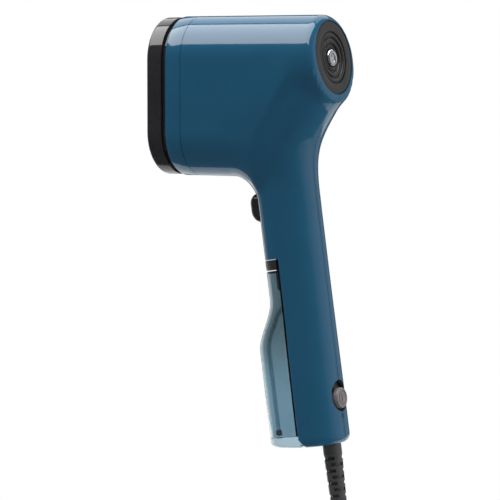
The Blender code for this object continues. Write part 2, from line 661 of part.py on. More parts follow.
def make_button():
    profile = [(0.45, -BUTTON_PROUD, 0.0016), (0.72, -BUTTON_PROUD + 0.0006, 0.0012),
               (0.90, -BUTTON_PROUD + 0.0018, 0.0006), (1.0, -BUTTON_PROUD + 0.0040, 0.0),
               (1.0, BUTTON_FLANGE_U - HANDLE_FRONT, 0.0)]
    rings = []
    for scale, u, lift in profile:
        outline = rounded_box(BUTTON_HEIGHT * scale, BUTTON_WIDTH * scale, 0.0048 * scale)
        rings.append([(HANDLE_FRONT + u, y, BUTTON_T + t + lift) for t, y in outline])
    flange = rounded_box(BUTTON_HEIGHT + BUTTON_LIP, FLANGE_WIDTH, 0.005)
    for u in (BUTTON_FLANGE_U, BUTTON_FLANGE_U + 0.0015):
        rings.append([(u, y, BUTTON_T + t) for t, y in flange])
    stem = rounded_box(0.0044, 0.0044, 0.0020)
    for u in (BUTTON_FLANGE_U + 0.0015, SWITCH_FACE_U - 0.0035):
        rings.append([(u, y, BUTTON_T + t) for t, y in stem])
    loft("steam_button", rings, "black_gloss", None, handle_axis)
    turned("switch_plunger", [(0.0011, 0.0), (0.0011, 0.0050)], "white_plastic",
           facing_x(SWITCH_FACE_U - 0.0032, 0, BUTTON_T), handle_axis, 10)
    body = block("micro_switch", (SWITCH_FACE_U, -0.0034, BUTTON_T - 0.0095),
                 (SWITCH_FACE_U + 0.011, 0.0034, BUTTON_T + 0.0095), "dark_plastic", handle_axis)
    hole = turned("plunger_hole", [(0.0015, -0.01), (0.0015, 0.0055)], "steel",
                  facing_x(SWITCH_FACE_U, 0, BUTTON_T), handle_axis, 10)
    cut(body, cutter(hole))
    start = BUTTON_FLANGE_U + 0.0015 + GAP
    spring("button_spring", 0.0036, 0.00035, SWITCH_FACE_U - GAP - start, 5,
           facing_x(start, 0, BUTTON_T), handle_axis)


# ---- Slide switch ------------------------------------------------------------------------------------
def make_slide_switch():
    inner = KNOB_RADIUS + WELL_CLEARANCE
    outer = inner + WELL_WALL
    half_gap = KNOB_TRAVEL / 2
    rim = 0.0172
    rings = []
    for radius, u in ((outer, WELL_FLOOR_U - 0.001), (outer, rim), (inner, rim), (inner, WELL_FLOOR_U)):
        rings.append([(u, y, SWITCH_T + t) for y, t in stadium(radius, half_gap, 10)])
    well = loft("switch_well", rings, "dark_plastic", None, handle_axis)
    slot = [(t, y) for y, t in stadium(0.0020, half_gap, 5)]
    cut(well, cutter(prism("stem_slot", slot, -0.01, 0.01, "steel",
                           facing_x(WELL_FLOOR_U, 0, SWITCH_T), handle_axis)))
    proud = HANDLE_REAR + KNOB_PROUD
    knob = [(0.0016, 0.0126), (0.0016, WELL_FLOOR_U + 0.0005), (KNOB_RADIUS, WELL_FLOOR_U + 0.0005),
            (KNOB_RADIUS, proud - 0.0008), (KNOB_RADIUS - 0.0008, proud), (0.0030, proud),
            (0.0027, proud - 0.0004)]
    turned("power_knob", knob, "knob_grey", facing_x(0, 0, SWITCH_T - half_gap), handle_axis, 28)
    body = block("slide_switch", (0.0040, -0.0070, SWITCH_T - 0.010), (0.0138, 0.0070, SWITCH_T + 0.010),
                 "dark_plastic", handle_axis)
    cut(body, cutter(prism("actuator_slot", slot, -0.002, 0.01, "steel",
                           facing_x(0.0138, 0, SWITCH_T), handle_axis)))


# ---- Lower handle ------------------------------------------------------------------------------------
FRAME_U = SEAM_U + BAY_WALL + GAP


def make_inner_frame():
    """A plate behind the tank bay; each shell is screwed to its bosses."""
    plate = block("inner_frame", (FRAME_U, -0.0135, -0.116), (FRAME_U + 0.0050, 0.0135, -0.024),
                  "white_plastic", handle_axis)
    window = block("frame_window", (-0.01, -0.0075, -0.100), (0.01, 0.0075, -0.040), parent=handle_axis)
    cut(plate, cutter(window))
    for side in (-1, 1):
        hand = "right" if side > 0 else "left"
        for height, t in zip(("upper", "lower"), SCREW_T):
            pilot = turned(f"pilot_{hand}_{height}", [(SCREW_RADIUS + GAP, -0.001),
                                                     (SCREW_RADIUS + GAP, 0.01)], "steel",
                           facing_x(FRAME_U, side * SCREW_Y, t), handle_axis, 12)
            cut(plate, cutter(pilot))
            profile = [(SCREW_HEAD * 0.55, 0.0004), (SCREW_HEAD, 0.0007), (SCREW_HEAD, 0.0013),
                       (SCREW_RADIUS, 0.0013), (SCREW_RADIUS, 0.0080), (0.0004, 0.0090)]
            turned(f"casing_screw_{hand}_{height}", profile, "steel",
                   facing_x(SEAM_U, side * SCREW_Y, t), handle_axis, 12)
    block("control_board", (0.0080, -0.0110, -0.0840), (0.0096, 0.0110, -0.0360), "board_green",
          handle_axis)
    block("relay", (0.0099, -0.0060, -0.0780), (0.0150, 0.0060, -0.0640), "white_plastic", handle_axis)


# ---- Cord exit ---------------------------------------------------------------------------------------
FLANGE_T = BASE_T + WALL + GAP


def make_strain_relief():
    collar_end = BASE_T - 0.0085
    tip = BASE_T - RELIEF_LENGTH
    flange = RELIEF_ROOT + 0.0008
    profile = [(flange, FLANGE_T + 0.0035), (flange, FLANGE_T + 0.0015),
               (RELIEF_ROOT, FLANGE_T + 0.0015), (RELIEF_ROOT, collar_end)]
    ribs = 5
    pitch = (collar_end - tip) / ribs
    for i in range(ribs):
        top = collar_end - pitch * i
        radius = RELIEF_ROOT + (RELIEF_TIP - RELIEF_ROOT) * (i + 0.5) / ribs
        profile += [(radius - 0.0009, top - 0.0002), (radius - 0.0009, top - pitch * 0.35),
                    (radius, top - pitch * 0.40), (radius, top - pitch * 0.98)]
    turned("strain_relief", profile, "cord_black", upright(CORD_U, 0, 0), handle_axis, 16)
    inner = [(CORD_U, 0, FLANGE_T + 0.0038), (CORD_U, 0, -0.118), (CORD_U, 0, -0.112)]
    tube("inner_cord", inner, CORD_RADIUS, "cord_black", 2, handle_axis)
    clamp = block("cord_clamp", (FRAME_U + 0.0050 + GAP, -0.0080, -0.1190), (0.0136, 0.0080, -0.1140),
                  "dark_plastic", handle_axis)
    cut(clamp, cutter(turned("clamp_hole", [(CORD_RADIUS + GAP, -0.13), (CORD_RADIUS + GAP, -0.10)],
                             "steel", upright(CORD_U, 0, 0), handle_axis, 16)))


# ---- Water tank --------------------------------------------------------------------------------------
def tank_front(t):
    """The tank's front line: flush with the grip at the top, with a belly below."""
    return HANDLE_FRONT + (TANK_FRONT - HANDLE_FRONT) * float(ramp(-t, -BELLY_START_T, -BELLY_END_T))


def dip_line(t):
    """The middle of the dip tube, clear of the tank's front wall by enough for its filter."""
    return tank_front(t) + TANK_WALL + FILTER_RADIUS + GAP


def tank_outline(t, inset, arc=13, back=9):
    """The tank's section: a rounded front and a flat back."""
    depth = SECTION_U - tank_front(t) - inset
    width = float(half_width(t)) - inset
    rear = SEAM_U - GAP - inset + foot_kick(t)
    end = math.acos(min(1.0, ((SECTION_U - rear) / depth) ** (SECTION_POWER / 2)))
    points = []
    for i in range(arc + 1):
        a = end - 2 * end * i / arc
        power = 2 / SECTION_POWER
        u = SECTION_U - depth * math.cos(a) ** power
        y = width * math.copysign(abs(math.sin(a)) ** power, a)
        points.append((u, y))
    first = points[0]
    last = points[-1]
    for i in range(1, back + 1):
        share = i / (back + 1)
        points.append((rear, last[1] + (first[1] - last[1]) * share))
    return points


def tank_hole(radius, outline):
    """A circle whose points face those of the tank's outline."""
    points = []
    for u, y in outline:
        a = math.atan2(y, u - SPOUT_U)
        points.append((SPOUT_U + radius * math.cos(a), radius * math.sin(a)))
    return points


def level(outline, t):
    return [(u, y, t) for u, y in outline]


def make_tank():
    foot_t = BASE_T + TANK_FOOT
    outer_t = [foot_t + GAP, -0.100, -0.080, -0.0700, -0.0640, -0.0580, -0.0520, -0.0460, -0.0400,
               -0.0340, -0.0260, TANK_TOP_T - 0.0008]
    rings = [level(tank_outline(t, 0.0), t) for t in outer_t]
    rings.append(level(tank_outline(TANK_TOP_T, 0.0006), TANK_TOP_T))
    hole = tank_hole(CAP_FLANGE + GAP, tank_outline(TANK_TOP_T, 0.0))
    roof = TANK_TOP_T - 0.0015
    rings += [level(hole, TANK_TOP_T), level(hole, roof)]
    inner_t = [roof] + [t for t in reversed(outer_t) if t < roof]
    rings += [level(tank_outline(t, TANK_WALL), t) for t in inner_t]
    loft("tank_body", rings, "tank_tint", None, handle_axis, True)
    foot = []
    for inset, rise in ((0.0035, 0.0), (0.0018, 0.0004), (0.0006, 0.0014), (0.0, 0.0028), (0.0, 0.0042)):
        tilt = FOOT_TILT * (1 - rise / TANK_FOOT)
        outline = tank_outline(BASE_T + rise, inset)
        foot.append([(u, y, BASE_T + rise - tilt * (u - TANK_FRONT)) for u, y in outline])
    foot.append(level(tank_outline(foot_t, 0.0), foot_t))
    loft("tank_base", foot, "tank_tint", None, handle_axis)


def make_tank_valve():
    place = upright(SPOUT_U, 0, 0)
    seat = -0.0207
    cage_end = -0.0300
    turned("tank_cap", [
        (SPOUT_RADIUS, -0.0120), (0.0022, -0.0120), (0.0022, seat), (0.0036, seat), (0.0036, cage_end),
        (0.0044, cage_end), (0.0044, TANK_TOP_T - CAP_DEPTH), (CAP_FLANGE, TANK_TOP_T - CAP_DEPTH),
        (CAP_FLANGE, TANK_TOP_T), (SPOUT_RADIUS, TANK_TOP_T)], "dark_plastic", place, handle_axis, 20, True)
    turned("tank_valve", [(0.0018, -0.0158), (0.0018, seat - VALVE_TRAVEL - GAP),
                          (0.0032, seat - VALVE_TRAVEL - GAP), (0.0032, -0.0240)],
           "white_plastic", place, handle_axis, 16)
    spring("valve_spring", 0.0026, 0.00025, 0.0036, 3.5, upright(SPOUT_U, 0, -0.0280), handle_axis)
    turned("valve_retainer", [(0.0033, -0.0283), (0.0033, cage_end - 0.0010), (0.0015, cage_end - 0.0010),
                              (0.0015, -0.0350), (0.0008, -0.0350), (0.0008, -0.0283)],
           "dark_plastic", place, handle_axis, 16, True)
    foot_t = BASE_T + TANK_FOOT
    route = [(SPOUT_U, 0, -0.0353), (SPOUT_U - 0.0006, 0, -0.0390)]
    for t in (-0.0450, -0.0520, -0.0590, -0.0660, -0.0740, -0.0900, -0.1060, foot_t + 0.0045):
        route.append((dip_line(t), 0, t))
    tube("pickup_tube", smooth_path(route, 22), DIP_RADIUS, "silicone", 1, handle_axis)
    turned("pickup_filter", [(FILTER_RADIUS, foot_t + 0.0006), (FILTER_RADIUS, foot_t + 0.0032),
                             (DIP_RADIUS, foot_t + 0.0042)],
           "dark_plastic", upright(dip_line(foot_t), 0, 0), handle_axis, 14)


# ---- Latch and seat above the tank -------------------------------------------------------------------
LATCH_TOP_T = BAY_TOP_T - GAP
LATCH_LOW_T = LATCH_TOP_T - LATCH_HEIGHT


def section_arc(inset, end_u, shift=0.0, steps=16):
    """The handle's front curve, moved in by inset and back by shift, from one side to the other."""
    depth = SECTION_U - HANDLE_FRONT - inset
    width = HANDLE_HALF_WIDTH - inset
    share = (SECTION_U + shift - end_u) / depth
    end = math.acos(share ** (SECTION_POWER / 2))
    power = 2 / SECTION_POWER
    points = []
    for i in range(steps + 1):
        a = end - 2 * end * i / steps
        u = SECTION_U + shift - depth * math.cos(a) ** power
        points.append((u, width * math.copysign(abs(math.sin(a)) ** power, a)))
    return points


def make_latch():
    outer = section_arc(0.0, LATCH_END_U)
    inner = section_arc(LATCH_THICKNESS, LATCH_END_U)
    prism("tank_latch", outer + inner[::-1], LATCH_LOW_T, LATCH_TOP_T, "dark_plastic", None, handle_axis)
    outline = section_arc(LATCH_THICKNESS + GAP, SEAM_U - GAP, LATCH_TRAVEL)
    seat = prism("tank_seat", outline, LATCH_LOW_T, LATCH_TOP_T, "dark_plastic", None, handle_axis)
    cut(seat, cutter(turned("spout_hole", [(SPOUT_RADIUS + GAP, -0.03), (SPOUT_RADIUS + GAP, 0.0)],
                            "steel", upright(SPOUT_U, 0, 0), handle_axis, 20)))
    middle = (LATCH_LOW_T + LATCH_TOP_T) / 2
    for hand, side in (("left", -1), ("right", 1)):
        cut(seat, cutter(turned(f"spring_pocket_{hand}", [(0.0019, -0.02), (0.0019, 0.0)], "steel",
                                facing_x(POCKET_U, side * SPRING_Y, middle), handle_axis, 12)))
        start = inner_front(SPRING_Y + SPRING_RADIUS + SPRING_WIRE, LATCH_THICKNESS) + GAP
        spring(f"latch_spring_{hand}", SPRING_RADIUS, SPRING_WIRE, POCKET_U - GAP - start, 3,
               facing_x(start, side * SPRING_Y, middle), handle_axis)
    turned("water_inlet", [(0.0016, -0.0155), (0.0016, -0.0112), (0.0032, -0.0112), (0.0032, -0.0070),
                           (0.0058, -0.0070), (0.0058, -0.0055), (0.0017, -0.0055), (0.0017, 0.0),
                           (0.0008, 0.0), (0.0008, -0.0155)],
           "dark_plastic", upright(SPOUT_U, 0, 0), handle_axis, 16, True)
    turned("inlet_seal", [(0.0057, -0.0078), (0.0057, -0.0073), (0.0036, -0.0073), (0.0036, -0.0078)],
           "silicone", upright(SPOUT_U, 0, 0), handle_axis, 16, True)


# ---- Free cord ---------------------------------------------------------------------------------------
def make_cord():
    """The lead hangs from the strain relief to a tied coil; its tail ends in a two-pin plug."""
    exit_point = at(CORD_U, 0, BASE_T - RELIEF_LENGTH - GAP)
    inner = COIL_MEAN - COIL_ROWS * CORD_RADIUS - 0.0005
    outer = COIL_MEAN + COIL_ROWS * CORD_RADIUS + 0.0005
    width = COIL_COLUMNS * CORD_RADIUS + 0.0005
    lead_x = COIL_CENTRE.x - CORD_RADIUS
    top_row = COIL_MEAN + (COIL_ROWS - 1) * CORD_RADIUS
    lead = [exit_point, exit_point + at(0, 0, -0.008)]
    bend = 0.040
    start_y = COIL_CENTRE.y + top_row * math.sin(math.pi / 4) - bend * (1 - math.cos(math.pi / 4))
    start_z = COIL_CENTRE.z + top_row * math.cos(math.pi / 4) + bend * math.sin(math.pi / 4)
    for degrees in (0, 10, 20):
        a = math.radians(degrees)
        lead.append(Vector((lead_x, start_y + bend * (1 - math.cos(a)), start_z - bend * math.sin(a))))
    tube("power_cord", smooth_path(lead, 12), CORD_RADIUS, "cord_black", 3)
    turned("cord_coil", [(inner, -width), (outer, -width), (outer, width), (inner, width)], "cord_black",
           facing_x(*COIL_CENTRE), None, 40, True)
    tail_y = COIL_CENTRE.y + top_row
    tail_x = COIL_CENTRE.x + CORD_RADIUS
    clear = math.sqrt((outer + GAP) ** 2 - (top_row - CORD_RADIUS) ** 2)
    tail_top = COIL_CENTRE.z - clear - 0.0005
    tail_end = tail_top - 0.038
    tail = [Vector((tail_x, tail_y, tail_top)), Vector((tail_x, tail_y, tail_end))]
    tube("cord_tail", smooth_path(tail, 5), CORD_RADIUS, "cord_black", 3)
    plug_top = tail_end - GAP
    plug_place = upright(tail_x, tail_y, plug_top)
    sections = [(0.0050, 0.0050, 0.0), (0.0062, 0.0062, -0.012), (0.0110, 0.0078, -0.020),
                (PLUG_RADIUS, 0.0080, -0.028), (PLUG_RADIUS, 0.0080, -0.042)]
    rings = []
    for wide, deep, height in sections:
        outline = rounded_box(2 * deep, 2 * wide, deep * 0.9)
        rings.append([(x, y, height) for x, y in outline])
    plug = loft("plug_body", rings, "cord_black", plug_place)
    for hand, side in (("left", -1), ("right", 1)):
        place = plug_place @ upright(0, side * PIN_HALF_SPACING, 0)
        turned(f"plug_pin_{hand}", [(PIN_RADIUS, -0.0370), (PIN_RADIUS, -0.0600), (0.0014, -0.0610)],
               "brass", place, None, 14)
        pocket = turned(f"pin_pocket_{hand}", [(PIN_RADIUS + GAP, -0.0370 + GAP), (PIN_RADIUS + GAP, -0.0450)],
                        "brass", place, None, 14)
        cut(plug, cutter(pocket))
    tie_wall = 0.0012
    low = (COIL_CENTRE.x - width - GAP - tie_wall, COIL_CENTRE.z + inner - GAP - tie_wall)
    high = (COIL_CENTRE.x + width + GAP + tie_wall, COIL_CENTRE.z + outer + 0.0012 + tie_wall)
    rings = []
    for inset, y in ((0, -0.005), (0, 0.005), (tie_wall, 0.005), (tie_wall, -0.005)):
        x0, z0, x1, z1 = low[0] + inset, low[1] + inset - 0.0006, high[0] - inset, high[1] - inset
        rings.append([(x, COIL_CENTRE.y + y, z) for x, z in ((x0, z0), (x1, z0), (x1, z1), (x0, z1))])
    loft("cord_tie", rings, "cord_black", loop=True)


make_casing(make_casing_tools())
make_head_front()
make_steam_head()
make_pump()
make_rear_cap()
make_button()
make_slide_switch()
make_inner_frame()
make_strain_relief()
make_tank()
make_tank_valve()
make_latch()
make_cord()
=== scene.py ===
# %% [markdown]
# # A hand-held garment steamer
#
# The steamer is a level steam head on a leaning handle. Two glossy petrol-blue shells meet on the centre
# plane, a smoky water tank clips under the grip, and a ringed disc closes the back of the head.
#
# The working model, with its joints, is already made. This lesson loads it as a fixed frame and then makes
# the skins, the small trim and the finishes around it, one piece at a time.

# %% Load the working model
import json
import math

import bmesh
import bpy
import numpy as np
from mathutils import Matrix, Vector

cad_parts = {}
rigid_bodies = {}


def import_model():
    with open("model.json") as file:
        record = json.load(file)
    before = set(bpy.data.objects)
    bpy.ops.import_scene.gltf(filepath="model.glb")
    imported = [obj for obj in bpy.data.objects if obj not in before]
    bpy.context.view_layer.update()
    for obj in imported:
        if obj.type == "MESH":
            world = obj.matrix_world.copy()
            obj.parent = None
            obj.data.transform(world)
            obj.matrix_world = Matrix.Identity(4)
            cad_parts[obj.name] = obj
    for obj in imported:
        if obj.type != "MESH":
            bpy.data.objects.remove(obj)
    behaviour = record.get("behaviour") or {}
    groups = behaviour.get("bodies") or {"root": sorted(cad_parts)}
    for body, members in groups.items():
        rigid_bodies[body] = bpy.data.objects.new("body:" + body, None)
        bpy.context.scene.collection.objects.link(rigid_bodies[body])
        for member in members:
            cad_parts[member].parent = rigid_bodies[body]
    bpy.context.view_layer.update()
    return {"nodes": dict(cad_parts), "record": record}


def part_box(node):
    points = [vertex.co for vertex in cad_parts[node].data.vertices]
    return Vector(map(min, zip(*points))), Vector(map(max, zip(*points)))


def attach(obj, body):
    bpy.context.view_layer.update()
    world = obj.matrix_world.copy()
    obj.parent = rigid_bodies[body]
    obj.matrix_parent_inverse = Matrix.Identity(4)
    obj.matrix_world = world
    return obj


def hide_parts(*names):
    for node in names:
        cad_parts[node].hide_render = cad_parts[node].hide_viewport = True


for old in list(bpy.data.objects):
    bpy.data.objects.remove(old, do_unlink=True)

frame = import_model()

# %% [markdown]
# The head runs along X and the handle leans back by eight degrees. Most pieces of the handle are easier to
# think of standing upright, so they are made upright and then turned with one matrix.

# %% The handle's frame
LEAN = math.radians(8.0)
HANDLE = Matrix.Rotation(-LEAN, 4, "Y")
QUARTER_TURN = Matrix.Rotation(math.radians(90), 4, "Y")
BASE_T = -0.1275
GAP = 0.0003


def in_handle(u, y, t):
    """A point of the handle's frame: u to the back, y across, t up the handle."""
    return HANDLE @ Vector((u, y, t))


def facing_x(u, y, t):
    """A place in the handle's frame whose local Z points to the back."""
    return HANDLE @ Matrix.Translation((u, y, t)) @ QUARTER_TURN


def upright(u, y, t):
    return HANDLE @ Matrix.Translation((u, y, t))


print("lean", round(math.degrees(LEAN), 1), "degrees")

# %% [markdown]
# The camera comes first, because what it sees decides where the cord may be put away. It stands behind and
# to one side of the steamer, a little above it. A long lens keeps the sides of the head nearly parallel.

# %% Camera
CAMERA_TARGET = Vector((-0.0235, -0.0156, -0.0060))
CAMERA_AZIMUTH = math.radians(30.0)
CAMERA_ELEVATION = math.radians(4.0)
CAMERA_DISTANCE = 1.6

back = Vector((math.sin(CAMERA_AZIMUTH) * math.cos(CAMERA_ELEVATION),
               -math.cos(CAMERA_AZIMUTH) * math.cos(CAMERA_ELEVATION),
               math.sin(CAMERA_ELEVATION)))
camera = bpy.data.objects.new("camera", bpy.data.cameras.new("camera"))
camera.data.lens = 184.0
camera.data.sensor_width = 36.0
camera.location = CAMERA_TARGET + back * CAMERA_DISTANCE
camera.rotation_euler = (-back).to_track_quat("-Z", "Y").to_euler()
bpy.context.scene.collection.objects.link(camera)
bpy.context.scene.camera = camera
print("camera at", [round(v, 3) for v in camera.location])

# %% [markdown]
# ## Makers
#
# Nearly every piece is a loft: rings of points, joined by quads. A turned piece is a loft of circles and the
# head's trim is a loft of stadium outlines, two half circles with straight sides between them.

# %% Outlines
def circle(radius, steps=96):
    angles = [2 * math.pi * i / steps for i in range(steps)]
    return [(radius * math.cos(a), radius * math.sin(a)) for a in angles]


def stadium(radius, half_gap, steps=48):
    points = []
    for side in (1, -1):
        for i in range(steps + 1):
            a = math.pi * i / steps + (0 if side > 0 else math.pi)
            points.append((radius * math.cos(a), side * half_gap + radius * math.sin(a)))
    return points


def rounded_box(width, height, radius, steps=12):
    points = []
    for quarter, (sx, sy) in enumerate(((1, 1), (-1, 1), (-1, -1), (1, -1))):
        for i in range(steps + 1):
            a = math.pi / 2 * (quarter + i / steps)
            points.append((sx * (width / 2 - radius) + radius * math.cos(a),
                           sy * (height / 2 - radius) + radius * math.sin(a)))
    return points


def at_height(outline, height):
    return [(x, y, height) for x, y in outline]


def ramp(value, low, high):
    """Rise smoothly from 0 to 1 between two values."""
    s = np.clip((value - low) / (high - low), 0.0, 1.0)
    return s * s * (3 - 2 * s)


print("a stadium has", len(stadium(1, 1)), "points")

# %% Lofts
def loft_mesh(name, rings, loop=False):
    """Rings of equal count as a closed mesh: round into a loop, or closed by end faces."""
    mesh = bpy.data.meshes.new(name)
    bm = bmesh.new()
    rows = [[bm.verts.new(p) for p in ring] for ring in rings]
    count = len(rings[0])
    pairs = list(zip(rows, rows[1:] + rows[:1])) if loop else list(zip(rows, rows[1:]))
    for low, high in pairs:
        for i in range(count):
            j = (i + 1) % count
            bm.faces.new((low[i], low[j], high[j], high[i]))
    if not loop:
        bm.faces.new(rows[0][::-1])
        bm.faces.new(rows[-1])
    bmesh.ops.recalc_face_normals(bm, faces=bm.faces)
    bm.to_mesh(mesh)
    bm.free()
    return mesh


def turned_mesh(name, profile, steps=96, loop=False):
    """(radius, height) points turned about local Z."""
    return loft_mesh(name, [at_height(circle(radius, steps), height) for radius, height in profile], loop)


def joined(name, meshes):
    """Several meshes as one."""
    bm = bmesh.new()
    for mesh in meshes:
        bm.from_mesh(mesh)
    whole = bpy.data.meshes.new(name)
    bm.to_mesh(whole)
    bm.free()
    return whole


print("loft makers ready")

# %% [markdown]
# A finished piece needs four things: a place on a moving body, the plain working solid that it stands for,
# the material slot of the record and its finish. One function sees to all of them, so none is forgotten.

# %% Fitting a piece
FINISHES = {}
SLOTS = {part["node"]: part["material_slot"] for part in frame["record"]["subparts"]}
BODY_OF = {node: body for body, nodes in frame["record"]["behaviour"]["bodies"].items() for node in nodes}
waiting = []


def new_piece(name, mesh, body, place, angle):
    piece = bpy.data.objects.new(name, mesh)
    bpy.context.scene.collection.objects.link(piece)
    if place is not None:
        mesh.transform(place)
    mesh.shade_smooth()
    mesh.set_sharp_from_angle(angle=math.radians(angle))
    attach(piece, body)
    return piece


def give_slot(piece, slot):
    waiting.append((piece, slot))


def fit(name, mesh, node, place=None, angle=32, slot=None):
    """A mesh as a piece in place of a working solid, on its body and with its finish."""
    piece = new_piece(name, mesh, BODY_OF[node], place, angle)
    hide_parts(node)
    give_slot(piece, slot or SLOTS[node])
    return piece


def add_trim(name, mesh, body, slot):
    """A small piece that stands for no working solid."""
    give_slot(new_piece(name, mesh, body, None, 32), slot)


print(len(SLOTS), "nodes have a slot")

# %% [markdown]
# Holes are cut with Boolean modifiers. The result is stored in the mesh and the tools are thrown away, so
# no hidden object is left behind.

# %% Cutting
def tool_from(mesh, place=None):
    if place is not None:
        mesh.transform(place)
    tool = bpy.data.objects.new(mesh.name, mesh)
    bpy.context.scene.collection.objects.link(tool)
    return tool


def carve(mesh, tools):
    """The mesh with every tool cut out of it."""
    blank = tool_from(mesh)
    for tool in tools:
        modifier = blank.modifiers.new(tool.name, "BOOLEAN")
        modifier.operation = "DIFFERENCE"
        modifier.solver = "EXACT"
        modifier.object = tool
    bpy.context.view_layer.update()
    graph = bpy.context.evaluated_depsgraph_get()
    result = bpy.data.meshes.new_from_object(blank.evaluated_get(graph))
    result.name = mesh.name
    bpy.data.objects.remove(blank, do_unlink=True)
    return result


def discard(tools):
    for tool in tools:
        bpy.data.objects.remove(tool, do_unlink=True)


def carve_once(mesh, tools):
    """Cut with tools that nothing else needs, and throw them away."""
    result = carve(mesh, tools)
    discard(tools)
    return result


def prism_mesh(name, outline, low, high):
    return loft_mesh(name, [at_height(outline, height) for height in (low, high)])


def box_mesh(name, low, high):
    outline = [(low[0], low[1]), (high[0], low[1]), (high[0], high[1]), (low[0], high[1])]
    return prism_mesh(name, outline, low[2], high[2])


print("cutting ready")

# %% [markdown]
# ## The cord
#
# 1.8 m of 7 mm lead hangs from the handle: straight out of its sleeve, down to a tied round coil, and on to
# the plug. A real coil holds its whole length, so the turns are worked out by a loop. Each turn is a true
# circle that steps in by one cord's width as it passes the top, so neighbours touch and never cut. After four
# turns the cord crosses over, and a second layer winds outwards again beside the first.

# %% The cord's route
CORD_U = 0.0086
CORD_RADIUS = 0.0035
COIL_CENTRE = Vector((0.0400, -0.0229, -0.2440))
COIL_MEAN = 0.0385
COIL_ROWS = 4
COIL_START = 45
COIL_END = 2610
STEP_IN = 345
STEP_SPAN = 60
CROSSING = 1365
STEP_OUT = 1665
TURN_POINTS = 28
LEAD_BEND = 0.040
RELIEF_LENGTH = 0.040
cord_exit = in_handle(CORD_U, 0.0, BASE_T - RELIEF_LENGTH - GAP)


def coil_point(angle, radius, x):
    """A point on a turn; the angle runs from the top towards +Y."""
    return Vector((x, COIL_CENTRE.y + radius * math.sin(angle), COIL_CENTRE.z + radius * math.cos(angle)))


FINE_STEPS = 24


def curve_through(points, count):
    """Evenly spaced points on a Catmull-Rom curve through the given ones."""
    knots = [Vector(p) for p in points]
    knots = [knots[0] * 2 - knots[1]] + knots + [knots[-1] * 2 - knots[-2]]
    fine = []
    for a, b, c, d in zip(knots, knots[1:], knots[2:], knots[3:]):
        for i in range(FINE_STEPS):
            s = i / FINE_STEPS
            cube = (b * 3 - a - c * 3 + d) * s * s * s
            fine.append((b * 2 + (c - a) * s + (a * 2 - b * 5 + c * 4 - d) * s * s + cube) / 2)
    fine.append(knots[-2])
    lengths = [0.0]
    for a, b in zip(fine, fine[1:]):
        lengths.append(lengths[-1] + (b - a).length)
    even = []
    for target in np.linspace(0.0, lengths[-1], count):
        k = min(int(np.searchsorted(lengths, target, side="right")), len(lengths) - 1)
        share = (target - lengths[k - 1]) / (lengths[k] - lengths[k - 1])
        even.append(fine[k - 1].lerp(fine[k], share))
    return even


def cord_route():
    front = COIL_CENTRE.x - CORD_RADIUS
    rear = COIL_CENTRE.x + CORD_RADIUS
    outer_row = COIL_MEAN + (COIL_ROWS - 1) * CORD_RADIUS
    joining = math.radians(COIL_START)
    start_y = COIL_CENTRE.y + outer_row * math.sin(joining) - LEAD_BEND * (1 - math.cos(joining))
    start_z = COIL_CENTRE.z + outer_row * math.cos(joining) + LEAD_BEND * math.sin(joining)
    lead = [cord_exit, cord_exit + in_handle(0.0, 0.0, -0.008)]
    for degrees in (0, 10, 20, 31):
        a = math.radians(degrees)
        lead.append(Vector((front, start_y + LEAD_BEND * (1 - math.cos(a)),
                            start_z - LEAD_BEND * math.sin(a))))
    points = curve_through(lead, 14)
    steps = round(TURN_POINTS * (COIL_END - COIL_START) / 360)
    for i in range(steps + 1):
        degrees = COIL_START + (COIL_END - COIL_START) * i / steps
        rows_in = 0.0
        for k in range(COIL_ROWS - 1):
            rows_in += ramp(degrees, STEP_IN + 360 * k, STEP_IN + STEP_SPAN + 360 * k)
            rows_in -= ramp(degrees, STEP_OUT + 360 * k, STEP_OUT + STEP_SPAN + 360 * k)
        x = front + (rear - front) * ramp(degrees, CROSSING, CROSSING + STEP_SPAN)
        points.append(coil_point(math.radians(degrees), outer_row - 2 * CORD_RADIUS * rows_in, x))
    tail_top = points[-1]
    tail_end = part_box("cord_tail")[0].z
    for i in range(1, 9):
        points.append(Vector((rear, tail_top.y, tail_top.z + (tail_end - tail_top.z) * i / 8)))
    return points


route = cord_route()

# %% The cord itself
curve = bpy.data.curves.new("mains_lead", "CURVE")
curve.dimensions = "3D"
curve.bevel_depth = CORD_RADIUS
curve.bevel_resolution = 7
curve.use_fill_caps = True
spline = curve.splines.new("POLY")
spline.points.add(len(route) - 1)
for knot, point in zip(spline.points, route):
    knot.co = (*point, 1.0)
lead_path = bpy.data.objects.new("lead_path", curve)
lead_mesh = bpy.data.meshes.new_from_object(lead_path)
bpy.data.objects.remove(lead_path)
bpy.data.curves.remove(curve)
lead_mesh.shade_smooth()
lead_piece = bpy.data.objects.new("mains_lead", lead_mesh)
bpy.context.scene.collection.objects.link(lead_piece)
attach(lead_piece, "body")
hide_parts("power_cord", "cord_coil", "cord_tail")
give_slot(lead_piece, "cord_black")

# %% [markdown]
# The plug is a soft two-pin moulding. Its waist has finger ribs, because a real flat plug is pulled by its
# sides.

# %% Plug
plug_low, plug_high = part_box("plug_body")
plug_centre = (plug_low + plug_high) / 2


